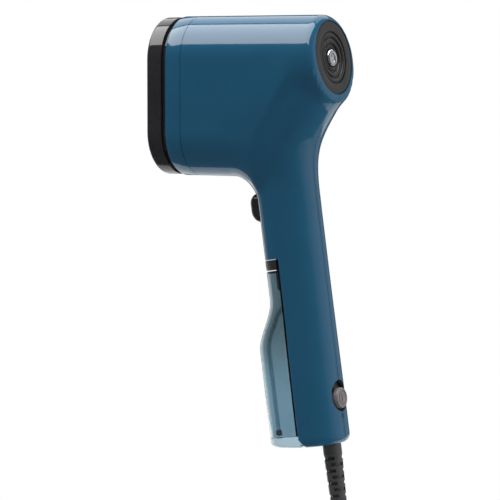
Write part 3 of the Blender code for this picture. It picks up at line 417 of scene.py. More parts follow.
def plug_rings():
    sections = [(0.0046, 0.0046, 0.0), (0.0050, 0.0050, -0.0010), (0.0054, 0.0054, -0.0060),
                (0.0062, 0.0062, -0.0120), (0.0086, 0.0070, -0.0165), (0.0110, 0.0078, -0.0205),
                (0.0124, 0.0080, -0.0245), (0.0130, 0.0080, -0.0280)]
    for i in range(4):
        top = -0.0292 - 0.0024 * i
        sections += [(0.0130, 0.0080, top), (0.0124, 0.0076, top - 0.0006), (0.0124, 0.0076, top - 0.0012),
                     (0.0130, 0.0080, top - 0.0018)]
    sections += [(0.0130, 0.0080, -0.0405), (0.0127, 0.0077, -0.0415), (0.0120, 0.0070, -0.0420)]
    rings = []
    for wide, deep, height in sections:
        rings.append(at_height(rounded_box(2 * deep, 2 * wide, deep * 0.95), height))
    return rings


def pin_mesh(name):
    return turned_mesh(name, [(0.0024, -0.0415), (0.0024, -0.0590), (0.0022, -0.0602), (0.0016, -0.0609),
                              (0.0006, -0.0610)], 32)


plug_place = Matrix.Translation((plug_centre.x, plug_centre.y, plug_high.z))
plug_piece = fit("plug_moulding", loft_mesh("plug_moulding", plug_rings()), "plug_body", plug_place)
for hand in ("left", "right"):
    pin_low, pin_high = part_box(f"plug_pin_{hand}")
    pin_place = Matrix.Translation((plug_centre.x, (pin_low.y + pin_high.y) / 2, plug_high.z))
    fit(f"pin_{hand}", pin_mesh(f"pin_{hand}"), f"plug_pin_{hand}", pin_place)
print("plug", [round(v * 1000, 1) for v in plug_high - plug_low], "mm")

# %% [markdown]
# A hook-and-loop strap holds the coil. It is a band with rounded edges that wraps the turns at the top.

# %% Cord strap
tie_low, tie_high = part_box("cord_tie")


def strap_mesh():
    middle = (tie_low + tie_high) / 2
    half_x = (tie_high.x - tie_low.x) / 2
    half_z = (tie_high.z - tie_low.z) / 2
    half_y = (tie_high.y - tie_low.y) / 2
    edge = 0.0004
    rings = []
    wall = 0.0012
    for inset, y in ((0.0, -half_y + edge), (0.0, half_y - edge), (edge, half_y), (wall - edge, half_y),
                     (wall, half_y - edge), (wall, -half_y + edge), (wall - edge, -half_y), (edge, -half_y)):
        outline = rounded_box(2 * (half_x - inset), 2 * (half_z - inset), 0.0034 - inset, 8)
        rings.append([(middle.x + x, middle.y + y, middle.z + z) for x, z in outline])
    return loft_mesh("cord_strap", rings, True)


strap_piece = fit("cord_strap", strap_mesh(), "cord_tie")
print("strap", round((tie_high.y - tie_low.y) * 1000, 1), "mm wide")

# %% [markdown]
# The sleeve where the cord leaves the handle must bend with it. Real ones are cut into a lattice: rings
# joined by narrow bridges, which stand a quarter turn round from one gap to the next.

# %% Bend relief
RELIEF_ROOT = 0.00585
RELIEF_TIP = 0.0050
RELIEF_TOP = BASE_T
RELIEF_COLLAR = 0.0085
RELIEF_END = BASE_T - RELIEF_LENGTH
LATTICE_GAPS = 8
LATTICE_TURN = math.radians(65)
SLOT_HALF_ANGLE = math.radians(60)
SLOT_SHARE = 0.25


def relief_radius(t):
    share = min(1.0, max(0.0, (RELIEF_TOP - RELIEF_COLLAR - t) / (RELIEF_TOP - RELIEF_COLLAR - RELIEF_END)))
    return RELIEF_ROOT + (RELIEF_TIP - RELIEF_ROOT) * share


def relief_mesh():
    """A tapered sleeve with a bore; slots cut from two sides leave rings joined by bridges."""
    bore = CORD_RADIUS + 0.0001
    top = RELIEF_TOP + 0.0005
    neck = RELIEF_TOP - RELIEF_COLLAR
    profile = [(RELIEF_ROOT, top), (RELIEF_ROOT, neck + 0.0003), (RELIEF_ROOT - 0.0002, neck)]
    profile += [(relief_radius(neck) - 0.0002, neck - 0.0002)]
    pitch = (neck - RELIEF_END) / LATTICE_GAPS
    for i in range(1, 2 * LATTICE_GAPS):
        t = neck - pitch * i / 2
        profile.append((relief_radius(t), t))
    profile += [(RELIEF_TIP, RELIEF_END + 0.0003), (RELIEF_TIP - 0.0003, RELIEF_END), (bore, RELIEF_END),
                (bore, top)]
    body = turned_mesh("bend_relief", profile, 72, True)
    slots = []
    for i in range(LATTICE_GAPS):
        middle = neck - pitch * (i + 0.45)
        for side in (0, math.pi):
            turn = math.pi / 2 * (i % 2) + side + LATTICE_TURN
            place = HANDLE @ Matrix.Translation((CORD_U, 0, middle)) @ Matrix.Rotation(turn, 4, "Z")
            arc = []
            for radius, way in ((0.0090, 1), (CORD_RADIUS + 0.0006, -1)):
                for k in range(-6, 7):
                    a = SLOT_HALF_ANGLE * k / 6 * way
                    arc.append((radius * math.cos(a), radius * math.sin(a)))
            slot_mesh = prism_mesh(f"slot_{i}_{side:.0f}", arc, -pitch * SLOT_SHARE, pitch * SLOT_SHARE)
            slots.append(tool_from(slot_mesh, place))
    body.transform(upright(CORD_U, 0, 0))
    return carve_once(body, slots)


relief_piece = fit("bend_relief", relief_mesh(), "strain_relief")
print("relief", len(relief_piece.data.polygons), "faces")

# %% [markdown]
# ## The casing
#
# The head and the handle run into each other in soft fillets, which is hard to draw with plain lofts. So the
# form is written as a distance: a number that is negative inside, positive outside and zero on the surface.
# Rounded unions and rounded cuts of such numbers give the fillets. Rays from inside then find the surface,
# ring by ring, which gives a clean grid of quads as fine as we like.

# %% The casing's form
HEAD_RADIUS = 0.028
HEAD_HIGH = 0.1126
HEAD_LOW = 0.0674
HEAD_MID = (HEAD_HIGH + HEAD_LOW) / 2
HEAD_HALF_GAP = (HEAD_HIGH - HEAD_LOW) / 2
CASING_FRONT_X = -0.0670
DISC_U = 0.0432
DISC_T = 0.1093
DISC_RADIUS = 0.0229
DISC_EDGE = 0.0045
SECTION_U = -0.0005
HANDLE_REAR = 0.0190
HANDLE_FRONT = -0.0200
HANDLE_HALF_WIDTH = 0.0170
SECTION_POWER = 2.3
FLARE_T = 0.0582
FLARE_SPREAD = 0.0065
FLARE_SLOPE = 0.95
FILLET_LOW = 0.0165
FILLET_HIGH = 0.0030
BASE_DROP = 0.0015
WALL = 0.0022


def union_round(a, b, radius):
    corner = np.hypot(np.maximum(radius - a, 0.0), np.maximum(radius - b, 0.0))
    return np.maximum(radius, np.minimum(a, b)) - corner


def cut_round(a, b, radius):
    corner = np.hypot(np.maximum(radius + a, 0.0), np.maximum(radius + b, 0.0))
    return np.minimum(-radius, np.maximum(a, b)) + corner


def half_width(t):
    return HANDLE_HALF_WIDTH + 0.0016 * ramp(-t, 0.020, 0.115) + 0.0102 * ramp(t, 0.030, 0.085)


def rear_line(t):
    return HANDLE_REAR + FLARE_SLOPE * FLARE_SPREAD * np.log1p(np.exp((t - FLARE_T) / FLARE_SPREAD))


def handle_distance(u, y, t):
    along = u - SECTION_U
    depth = np.where(along > 0, rear_line(t) - SECTION_U, SECTION_U - HANDLE_FRONT)
    far = np.hypot(along, y) + 1e-9
    level = (np.abs(along) / depth) ** SECTION_POWER + (np.abs(y) / half_width(t)) ** SECTION_POWER
    side = far - far / (level ** (1 / SECTION_POWER) + 1e-9)
    return np.maximum(cut_round(side, BASE_T - BASE_DROP - t, 0.0050), t - 0.100)


def head_distance(x, y, z):
    low = HEAD_LOW + (HEAD_HIGH - HEAD_LOW) * ramp(x, -0.022, 0.018)
    return np.hypot(y, z - np.clip(z, low, HEAD_HIGH)) - HEAD_RADIUS


def casing_distance(points):
    x, y, z = points[..., 0], points[..., 1], points[..., 2]
    u = x * math.cos(LEAN) + z * math.sin(LEAN)
    t = z * math.cos(LEAN) - x * math.sin(LEAN)
    fillet = FILLET_LOW + (FILLET_HIGH - FILLET_LOW) * ramp(z, 0.040, 0.075)
    form = union_round(head_distance(x, y, z), handle_distance(u, y, t), fillet)
    return cut_round(form, u - DISC_U, DISC_EDGE)


HALVINGS = 34


def reach_surface(origins, directions, inset, limit=0.2):
    """Where rays from inside meet the form, moved in by inset, found by halving."""
    low = np.zeros(origins.shape[:-1])
    high = np.full(origins.shape[:-1], limit)
    for _ in range(HALVINGS):
        middle = (low + high) / 2
        inside = casing_distance(origins + directions * middle[..., None]) < -inset
        low = np.where(inside, middle, low)
        high = np.where(inside, high, middle)
    return origins + directions * low[..., None]


print("grip depth", round((HANDLE_REAR - HANDLE_FRONT) * 1000, 1), "mm")

# %% [markdown]
# The rings stand square to the head, then turn like a fan round the elbow, then go down the handle, and at
# the base they tip over to close it. They are close together across the rim of the back disc, where the
# surface turns fast.

# %% Rings on the casing
ELBOW = in_handle(-0.0372, 0.0, 0.0291)
SEED_REACH = 0.037
ORIGIN_GAP = 0.0025
GRIP_TOP_T = 0.018
GRIP_END_T = BASE_T + 0.012


def fan_angles(pivot, share):
    rim = DISC_RADIUS + DISC_EDGE / 2
    knots = [math.radians(90)]
    for t, margin in ((DISC_T + rim, 4), (DISC_T + rim, -3), (DISC_T - rim, 3), (DISC_T - rim, -5)):
        x, _, z = np.array(in_handle(DISC_U, 0.0, t)) - pivot
        knots.append(math.atan2(z, x) + math.radians(margin))
    knots.append(LEAN)
    angles = []
    for start, end, count in zip(knots, knots[1:], (4, 6, 3, 6, 6)):
        angles += list(np.linspace(start, end, max(2, round(count * share)), endpoint=False))
    return angles + [LEAN]


def casing_stations(front_x, inset, fan, grip_rings, drops):
    stations = []
    pivot = np.array(ELBOW)
    for x in np.linspace(front_x, pivot[0], 4)[:-1]:
        stations.append((np.array((x, 0.0, HEAD_MID)), np.array((0.0, 0.0, 1.0)), HEAD_HALF_GAP, 0.0))
    for angle in fan_angles(pivot, fan):
        outward = np.array((math.cos(angle), 0.0, math.sin(angle)))
        seed = pivot + outward * SEED_REACH
        inner = reach_surface(seed, -outward, inset)
        outer = reach_surface(seed, outward, inset)
        half = np.linalg.norm(outer - inner) / 2
        half_gap = half - min(HEAD_RADIUS - inset, half - ORIGIN_GAP)
        stations.append(((inner + outer) / 2, outward, half_gap, 0.0))
    outward = np.array(in_handle(1.0, 0.0, 0.0))
    for t in np.linspace(GRIP_TOP_T, GRIP_END_T, grip_rings):
        stations.append((np.array(in_handle(SECTION_U, 0.0, t)), outward, ORIGIN_GAP, 0.0))
    for drop in drops:
        centre = np.array(in_handle(SECTION_U, 0.0, GRIP_END_T))
        stations.append((centre, outward, ORIGIN_GAP, math.radians(drop)))
    return stations


def casing_rings(front_x, inset, arc_steps, fan, grip_rings, drops):
    across = np.array((0.0, 1.0, 0.0))
    down = np.array(in_handle(0.0, 0.0, -1.0))
    rays = []
    for side, start in ((1.0, -math.pi / 2), (-1.0, math.pi / 2)):
        rays += [(side, start + math.pi * i / arc_steps) for i in range(arc_steps + 1)]
        rays.append((0.0, start + math.pi))
    origins = []
    directions = []
    for centre, outward, half_gap, drop in casing_stations(front_x, inset, fan, grip_rings, drops):
        flat = [outward * math.cos(a) + across * math.sin(a) for _, a in rays]
        directions.append([d * math.cos(drop) + down * math.sin(drop) for d in flat])
        origins.append([centre + outward * half_gap * side for side, _ in rays])
    return reach_surface(np.array(origins), np.array(directions), inset)


OUTER_DROPS = (6, 12, 18, 24, 30, 36, 42, 46, 50, 54, 58, 62, 66, 71, 76)
outer_rings = casing_rings(CASING_FRONT_X, 0.0, 41, 4.0, 26, OUTER_DROPS)
inner_rings = casing_rings(CASING_FRONT_X - 0.002, WALL, 15, 1.2, 8, (20, 38, 50, 58, 66, 76))
print("outer form", outer_rings.shape, "inner form", inner_rings.shape)

# %% [markdown]
# The two shells come from one outer form. A block on the far side leaves one half of it, the inner form
# makes it hollow, and tools cut the bay for the tank and the openings for disc, button, switch and cord.

# %% Tools for the shells
SEAM_U = -0.0043
BAY_TOP_T = -0.0103
BAY_WALL = 0.0030
TANK_FOOT = 0.0057
TANK_KICK = 0.0029
BUTTON_T = 0.0231
BUTTON_HEIGHT = 0.0182
BUTTON_WIDTH = 0.0120
SWITCH_T = -0.0993
KNOB_RADIUS = 0.0065
KNOB_TRAVEL = 0.0030
WELL_WALL = 0.0005
WELL_CLEARANCE = 0.0011
SPOUT_U = -0.0118
SCREW_T = (-0.034, -0.108)
SCREW_Y = 0.0105


def foot_kick(t):
    return TANK_KICK * max(0.0, (BASE_T + TANK_FOOT - t) / TANK_FOOT) ** 2


def kick_mesh():
    """The hollow in the lower edge that the tank's foot fills."""
    top = BASE_T + TANK_FOOT
    rings = []
    for y in (-0.04, 0.04):
        points = [(SEAM_U + foot_kick(t), y, t) for t in np.linspace(top, BASE_T, 17)[1:]]
        points += [(SEAM_U + TANK_KICK, y, BASE_T - 0.002), (SEAM_U - 0.002, y, BASE_T - 0.002)]
        rings.append([(SEAM_U - 0.002, y, top), (SEAM_U - GAP, y, top)] + points)
    return loft_mesh("kick_hole", rings)


def shell_tools():
    low = (-0.06, -0.04, BASE_T - 0.02)
    keep = tool_from(box_mesh("bay_wall", low, (SEAM_U + BAY_WALL, 0.04, BAY_TOP_T + WALL)), HANDLE)
    core = tool_from(carve_once(loft_mesh("core", inner_rings), [keep]))
    well = [(t, y) for y, t in stadium(KNOB_RADIUS + WELL_CLEARANCE + WELL_WALL + GAP, KNOB_TRAVEL / 2)]
    button = rounded_box(BUTTON_HEIGHT + 2 * GAP, BUTTON_WIDTH + 2 * GAP, 0.005)
    disc = turned_mesh("disc_hole", [(DISC_RADIUS + GAP, 0.0), (DISC_RADIUS + GAP, 0.02)])
    pocket = turned_mesh("cap_pocket", [(DISC_RADIUS + 0.0013, 0.0), (DISC_RADIUS + 0.0013, 0.01)])
    tools = [core, tool_from(box_mesh("bay", low, (SEAM_U, 0.04, BAY_TOP_T)), HANDLE),
             tool_from(disc, facing_x(DISC_U - 0.01, 0, DISC_T)),
             tool_from(pocket, facing_x(DISC_U - WALL - 0.01, 0, DISC_T)),
             tool_from(prism_mesh("button_hole", button, -0.01, 0.01), facing_x(HANDLE_FRONT, 0, BUTTON_T)),
             tool_from(prism_mesh("switch_hole", well, -0.006, 0.01), facing_x(HANDLE_REAR, 0, SWITCH_T)),
             tool_from(turned_mesh("cord_hole", [(RELIEF_ROOT + GAP, -0.01), (RELIEF_ROOT + GAP, 0.01)], 48),
                       upright(CORD_U, 0, BASE_T)),
             tool_from(turned_mesh("inlet_hole", [(0.0035, -0.004), (0.0035, 0.006)], 32),
                       upright(SPOUT_U, 0, BAY_TOP_T))]
    head = 0.0030
    shank = 0.00155
    for t in SCREW_T:
        for side in (-1, 1):
            profile = [(head, -0.001), (head, 0.0016), (shank, 0.0016), (shank, 0.006)]
            place = facing_x(SEAM_U, side * SCREW_Y, t)
            tools.append(tool_from(turned_mesh("screw_hole", profile, 32), place))
    tools.append(tool_from(kick_mesh(), HANDLE))
    return tools


# %% The two shells
tools = shell_tools()
for name, node, side in (("shell_left", "casing_left", -1), ("shell_right", "casing_right", 1)):
    low_y, high_y = sorted((side * GAP / 2, -side * 0.06))
    beyond = tool_from(box_mesh("beyond", (-0.2, low_y, -0.3), (0.2, high_y, 0.3)))
    shell = fit(name, carve(loft_mesh(name, outer_rings), [beyond, *tools]), node, angle=35)
    discard([beyond])
    print(name, len(shell.data.polygons), "faces")
discard(tools)

# %% [markdown]
# ## The front of the head
#
# A blue collar closes the shells, then comes a dark groove and a polished black bezel round the steam plate.
# Each is one closed profile, rounded at its corners, swept round the head's outline. The small rounding is
# what catches the light as a thin bright line.

# %% Collar, bezel and plate
COLLAR_BACK = CASING_FRONT_X - GAP
COLLAR_FRONT = COLLAR_BACK - 0.0113
BEZEL_BACK = COLLAR_FRONT - 0.0030
BEZEL_FRONT = BEZEL_BACK - 0.0112
PLATE_RADIUS = 0.0230
OUTLET_PITCH_Y = 0.0125
OUTLET_PITCH_Z = 0.0115
LIP = HEAD_RADIUS - WALL - GAP


def head_outline(x, radius):
    return [(x, y, HEAD_MID + z) for y, z in stadium(radius, HEAD_HALF_GAP)]


def head_ring_mesh(name, profile):
    """A closed (x, radius) profile swept round the head's outline."""
    return loft_mesh(name, [head_outline(x, radius) for x, radius in profile], True)


def arc_corner(x, radius, size, steps=8):
    """A quarter round from the side of a ring to its front."""
    points = []
    for i in range(steps + 1):
        a = math.pi / 2 * i / steps
        points.append((x + size - size * math.sin(a), radius - size + size * math.cos(a)))
    return points


collar_profile = [(COLLAR_BACK, HEAD_RADIUS), (COLLAR_FRONT + 0.0009, HEAD_RADIUS),
                  (COLLAR_FRONT + 0.0007, HEAD_RADIUS - 0.0001),
                  (COLLAR_FRONT + 0.0001, HEAD_RADIUS - 0.0007),
                  (COLLAR_FRONT, HEAD_RADIUS - 0.0009)]
collar_profile += [(COLLAR_FRONT, HEAD_RADIUS - WALL), (COLLAR_BACK - 0.002, HEAD_RADIUS - WALL),
                   (COLLAR_BACK - 0.002, LIP - 0.0012), (COLLAR_BACK + 0.004, LIP - 0.0012),
                   (COLLAR_BACK + 0.004, LIP), (COLLAR_BACK, LIP)]
fit("collar_ring", head_ring_mesh("collar_ring", collar_profile), "front_collar")

bezel_outer = HEAD_RADIUS - 0.0006
bezel_profile = [(BEZEL_BACK, bezel_outer - 0.0003), (BEZEL_BACK - 0.0003, bezel_outer)]
bezel_profile += arc_corner(BEZEL_FRONT, bezel_outer, 0.0022)
bezel_profile += [(BEZEL_FRONT, PLATE_RADIUS + 0.0007), (BEZEL_FRONT + 0.0003, PLATE_RADIUS + 0.0004),
                  (COLLAR_BACK - 0.0045, PLATE_RADIUS + 0.0004), (COLLAR_BACK - 0.0045, LIP),
                  (BEZEL_BACK, LIP)]
fit("bezel_ring", head_ring_mesh("bezel_ring", bezel_profile), "front_bezel")


def plate_mesh():
    front = BEZEL_FRONT + GAP
    edge = 0.0006
    profile = ((front + 0.0025, PLATE_RADIUS), (front + edge, PLATE_RADIUS),
               (front + 0.0002, PLATE_RADIUS - 0.0002), (front, PLATE_RADIUS - edge))
    plate = loft_mesh("sole_plate", [head_outline(x, radius) for x, radius in profile])
    drills = []
    for row in range(-3, 4):
        columns = (-0.5, 0.5) if row % 2 else (-1, 0, 1)
        for column in columns:
            drill = turned_mesh("drill", [(0.0022, -0.0006), (0.0013, 0.0007), (0.0013, 0.01)], 32)
            place = Matrix.Translation((front, column * OUTLET_PITCH_Y, HEAD_MID + row * OUTLET_PITCH_Z))
            drills.append(tool_from(drill, place @ QUARTER_TURN))
    return carve_once(plate, drills)


fit("sole_plate", plate_mesh(), "steam_plate")
print("bezel front at x", round(BEZEL_FRONT * 1000, 1), "mm")

# %% [markdown]
# ## The back disc
#
# The disc is turned: a broad dark rim, then steps and ridges that go in towards a bright stud. Ridges are
# drawn as small arcs in the profile, so they shade as rounds and not as cones.

# %% Disc and stud
def ridge(inner, outer, base, height, steps=8):
    """Points of a rounded ridge between two radii, going inwards."""
    points = []
    for i in range(steps + 1):
        a = math.pi * i / steps
        radius = (outer + inner) / 2 + (outer - inner) / 2 * math.cos(a)
        points.append((radius, base + height * math.sin(a)))
    return points


face = DISC_U - 0.0002
disc_profile = [(0.0057, -0.0056), (DISC_RADIUS + 0.0008, -0.0056), (DISC_RADIUS + 0.0008, -0.0042),
                (DISC_RADIUS, -0.0042), (DISC_RADIUS, -0.0011), (0.0230, -0.0006), (0.0225, -0.0002),
                (0.0218, 0.0), (0.0168, -0.0001), (0.0164, -0.0003), (0.0162, -0.0014)]
disc_profile += ridge(0.0131, 0.0159, -0.0015, 0.0011)
disc_profile += [(0.0129, -0.0019), (0.0124, -0.0020)]
disc_profile += ridge(0.0093, 0.0122, -0.0020, 0.0012)
disc_profile += [(0.0091, -0.0024), (0.0084, -0.0025)]
disc_profile += ridge(0.0064, 0.0082, -0.0025, 0.0009)
disc_profile += [(0.0060, -0.0026), (0.0057, -0.0027)]
disc_place = facing_x(face, 0, DISC_T)
fit("disc_rings", turned_mesh("disc_rings", disc_profile, 128, True), "rear_cap", disc_place, 50)

stud_profile = [(0.0054, -0.0062), (0.0054, -0.0016), (0.0052, -0.0009), (0.0048, -0.0004),
                (0.0043, -0.0001), (0.0038, 0.0), (0.0033, -0.0001), (0.0028, -0.0004), (0.0024, -0.0009),
                (0.0021, -0.0012), (0.0016, -0.0012), (0.0012, -0.0008), (0.0007, -0.0006), (0.0002, -0.0005)]
fit("stud_dome", turned_mesh("stud_dome", stud_profile, 96), "rear_stud", disc_place, 50)
print("disc diameter", round(2000 * DISC_RADIUS, 1), "mm")

# %% [markdown]
# ## The steam button
#
# A finger presses this domed pad into the handle. The dome is a loft of shrinking rounded outlines on an
# elliptic rise, and behind it a flange and a stem go to the switch inside.

# %% Button
BUTTON_PROUD = 0.0075


def inner_front(y, wall):
    share = (abs(y) / (HANDLE_HALF_WIDTH - wall)) ** SECTION_POWER
    return SECTION_U - (SECTION_U - HANDLE_FRONT - wall) * (1 - share) ** (1 / SECTION_POWER)


def button_mesh():
    flange_u = inner_front(0.0075, WALL) + GAP
    rings = []
    dome = 0.0058
    for i in range(14):
        a = math.radians(6 + 84 * i / 13)
        scale = math.sin(a) ** 0.85
        u = HANDLE_FRONT - BUTTON_PROUD + dome * (1 - math.cos(a))
        lift = 0.0012 * (1 - math.sin(a))
        outline = rounded_box(BUTTON_HEIGHT * scale, BUTTON_WIDTH * scale, 0.0050 * scale)
        rings.append([(u, y, BUTTON_T + t + lift) for t, y in outline])
    outline = rounded_box(BUTTON_HEIGHT, BUTTON_WIDTH, 0.0050)
    rings.append([(flange_u, y, BUTTON_T + t) for t, y in outline])
    flange = rounded_box(BUTTON_HEIGHT + 0.003, BUTTON_WIDTH + 0.003, 0.005)
    for u in (flange_u, flange_u + 0.0015):
        rings.append([(u, y, BUTTON_T + t) for t, y in flange])
    stem = rounded_box(0.0044, 0.0044, 0.0020)
    for u in (flange_u + 0.0015, -0.0095):
        rings.append([(u, y, BUTTON_T + t) for t, y in stem])
    return loft_mesh("trigger_pad", rings)


fit("trigger_pad", button_mesh(), "steam_button", HANDLE, 40)
print("button stands", round(BUTTON_PROUD * 1000, 1), "mm proud")

# %% [markdown]
# ## The slide switch
#
# A round knob slides up and down in a dark well. Its face has a ring and a bar across it, so a thumb can
# feel it. A small ring and a bar printed on the casing mark off and on.

# %% Knob and well
WELL_FLOOR_U = 0.0153
KNOB_FACE_U = HANDLE_REAR + 0.0014
knob_centre_t = SWITCH_T - KNOB_TRAVEL / 2


def knob_mesh():
    profile = [(0.0016, 0.0126), (0.0016, WELL_FLOOR_U + 0.0005),
               (KNOB_RADIUS - 0.0004, WELL_FLOOR_U + 0.0005), (KNOB_RADIUS, WELL_FLOOR_U + 0.0009),
               (KNOB_RADIUS, KNOB_FACE_U - 0.0009),
               (KNOB_RADIUS - 0.0003, KNOB_FACE_U - 0.0003), (KNOB_RADIUS - 0.0009, KNOB_FACE_U),
               (0.0048, KNOB_FACE_U), (0.0046, KNOB_FACE_U - 0.0005), (0.0039, KNOB_FACE_U - 0.0005),
               (0.0037, KNOB_FACE_U - 0.0001), (0.0032, KNOB_FACE_U), (0.0026, KNOB_FACE_U - 0.0002),
               (0.0012, KNOB_FACE_U - 0.0004), (0.0003, KNOB_FACE_U - 0.0004)]
    knob = turned_mesh("slide_knob", profile, 72)
    bar_outline = rounded_box(0.0056, 0.0010, 0.0005, 5)
    bar = prism_mesh("knob_bar", bar_outline, KNOB_FACE_U - 0.0006, KNOB_FACE_U + 0.0001)
    return joined("slide_knob", [knob, bar])


def well_mesh():
    inner = KNOB_RADIUS + WELL_CLEARANCE
    outer = inner + WELL_WALL
    rim = 0.0172
    rings = []
    for radius, u in ((outer, WELL_FLOOR_U - 0.001), (outer, rim), (inner, rim), (inner, WELL_FLOOR_U)):
        rings.append([(u, y, SWITCH_T + t) for y, t in stadium(radius, KNOB_TRAVEL / 2)])
    slot_outline = [(t, y) for y, t in stadium(0.0020, KNOB_TRAVEL / 2, 16)]
    slot_tool = tool_from(prism_mesh("stem_slot", slot_outline, -0.01, 0.01),
                          Matrix.Translation((WELL_FLOOR_U, 0, SWITCH_T)) @ QUARTER_TURN)
    return carve_once(loft_mesh("knob_well", rings), [slot_tool])


fit("slide_knob", knob_mesh(), "power_knob", facing_x(0, 0, knob_centre_t))
fit("knob_well", well_mesh(), "switch_well", HANDLE)


def print_mark(name, outline_at, t_centre):
    """A flat mark laid on the back of the handle, a hair proud of it."""
    rings = []
    for lift in (-0.00010, 0.00004):
        ring = []
        for y, t in outline_at:
            start = np.array(in_handle(0.0, y, t_centre + t))
            way = np.array(in_handle(1.0, 0.0, 0.0))
            ring.append(tuple(reach_surface(start, way, -lift)))
        rings.append(ring)
    return loft_mesh(name, rings)


off_outline = circle(0.0014, 24)
on_outline = rounded_box(0.0009, 0.0030, 0.0004, 4)
mark_offset = KNOB_RADIUS + WELL_CLEARANCE + WELL_WALL + KNOB_TRAVEL / 2 + 0.0032
add_trim("mark_off", print_mark("mark_off", off_outline, SWITCH_T - mark_offset), "body", "dark_plastic")
add_trim("mark_on", print_mark("mark_on", on_outline, SWITCH_T + mark_offset), "body", "dark_plastic")
print("switch travel", round(KNOB_TRAVEL * 1000, 1), "mm")

# %% [markdown]
# ## The water tank
#
# The tank is a thin clear-walled vessel. Light has to pass a wall, the air inside and another wall, so it is
# built as a real shell with an inside, not as a solid block. Its thick foot is a second piece.

# %% Tank
TANK_TOP_T = -0.0176
TANK_FRONT = -0.0323
TANK_WALL = 0.0016
CAP_FLANGE = 0.0052
FOOT_TILT = 0.05
BACK_POINTS = 16


def tank_front(t):
    return HANDLE_FRONT + (TANK_FRONT - HANDLE_FRONT) * float(ramp(-t, 0.0350, 0.0675))


def power_arc(depth, width, end, steps):
    """Part of the handle's section, from one side over the front to the other."""
    power = 2 / SECTION_POWER
    points = []
    for i in range(steps + 1):
        a = end - 2 * end * i / steps
        points.append((SECTION_U - depth * math.cos(a) ** power,
                       width * math.copysign(abs(math.sin(a)) ** power, a)))
    return points


def tank_outline(t, inset):
    """A rounded front, a flat back and a small radius between them."""
    depth = SECTION_U - tank_front(t) - inset
    width = float(half_width(t)) - inset
    rear = SEAM_U - GAP - inset + foot_kick(t)
    end = math.acos(min(1.0, ((SECTION_U - rear) / depth) ** (SECTION_POWER / 2)))
    points = power_arc(depth, width, end, 60)
    first, last = points[0], points[-1]
    for i in range(1, BACK_POINTS + 1):
        points.append((rear, last[1] + (first[1] - last[1]) * i / (BACK_POINTS + 1)))
    return points


def tank_mesh():
    foot_t = BASE_T + TANK_FOOT
    edge = 0.0008
    outer_t = list(np.linspace(foot_t + GAP, -0.0700, 8)) + list(np.linspace(-0.0680, -0.0340, 24))
    outer_t += [-0.0300, -0.0250, -0.0210, TANK_TOP_T - edge]
    rings = [at_height(tank_outline(t, 0.0), t) for t in outer_t]
    rings.append(at_height(tank_outline(TANK_TOP_T, 0.0002), TANK_TOP_T - edge * 0.35))
    rings.append(at_height(tank_outline(TANK_TOP_T, edge), TANK_TOP_T))
    hole = []
    for u, y in tank_outline(TANK_TOP_T, 0.0):
        a = math.atan2(y, u - SPOUT_U)
        radius = CAP_FLANGE + GAP
        hole.append((SPOUT_U + radius * math.cos(a), radius * math.sin(a)))
    roof = TANK_TOP_T - 0.0015
    rings += [at_height(hole, TANK_TOP_T), at_height(hole, roof)]
    inner_t = [roof] + [t for t in reversed(outer_t) if t < roof]
    rings += [at_height(tank_outline(t, TANK_WALL), t) for t in inner_t]
    return loft_mesh("water_tank", rings, True)


def foot_mesh():
    foot_t = BASE_T + TANK_FOOT
    rings = []
    for inset, rise in ((0.0040, 0.0), (0.0026, 0.0002), (0.0016, 0.0006), (0.0009, 0.0011), (0.0004, 0.0018),
                        (0.0001, 0.0026), (0.0, 0.0036), (0.0, 0.0046)):
        tilt = FOOT_TILT * (1 - rise / TANK_FOOT)
        outline = tank_outline(BASE_T + rise, inset)
        rings.append([(u, y, BASE_T + rise - tilt * (u - TANK_FRONT)) for u, y in outline])
    rings.append(at_height(tank_outline(foot_t, 0.0), foot_t))
    return loft_mesh("tank_foot", rings)


fit("water_tank", tank_mesh(), "tank_body", HANDLE, 40)
fit("tank_foot", foot_mesh(), "tank_base", HANDLE, 40)
print("tank is", round((TANK_TOP_T - BASE_T) * 1000, 1), "mm high")

# %% [markdown]
# A soft dip tube runs down the front wall to a small filter on the floor, and can be seen through the tank.

# %% Dip tube and filter
DIP_RADIUS = 0.0014
FILTER_RADIUS = 0.0022


def dip_line(t):
    return tank_front(t) + TANK_WALL + FILTER_RADIUS + GAP


def dip_mesh():
    foot_t = BASE_T + TANK_FOOT
    knots = [(SPOUT_U, 0, -0.0353), (SPOUT_U - 0.0006, 0, -0.0390)]
    for t in (-0.0450, -0.0520, -0.0590, -0.0660, -0.0740, -0.0900, -0.1060, foot_t + 0.0045):
        knots.append((dip_line(t), 0, t))
    path = curve_through(knots, 60)
    rings = []
    for i, point in enumerate(path):
        along = (path[min(i + 1, len(path) - 1)] - path[max(i - 1, 0)]).normalized()
        across = Vector((0, 1, 0))
        other = along.cross(across)
        rings.append([point + across * x + other * y for x, y in circle(DIP_RADIUS, 20)])
    return loft_mesh("dip_hose", rings)


filter_profile = [(FILTER_RADIUS - 0.0003, 0.0006), (FILTER_RADIUS, 0.0009)]
for i in range(4):
    filter_profile += [(FILTER_RADIUS, 0.0012 + 0.0005 * i), (FILTER_RADIUS - 0.0002, 0.00135 + 0.0005 * i)]
filter_profile += [(FILTER_RADIUS, 0.0031), (DIP_RADIUS, 0.0042)]
fit("dip_hose", dip_mesh(), "pickup_tube", HANDLE, slot="tank_tint")
fit("inlet_filter", turned_mesh("inlet_filter", filter_profile, 40), "pickup_filter",
    upright(dip_line(BASE_T + TANK_FOOT), 0, BASE_T + TANK_FOOT))
print("dip tube", round(2000 * DIP_RADIUS, 1), "mm thick")

# %% [markdown]
# Above the tank sits a dark satin band, the tank's release. It follows the handle's front curve, with its
# upper and lower edges rounded.

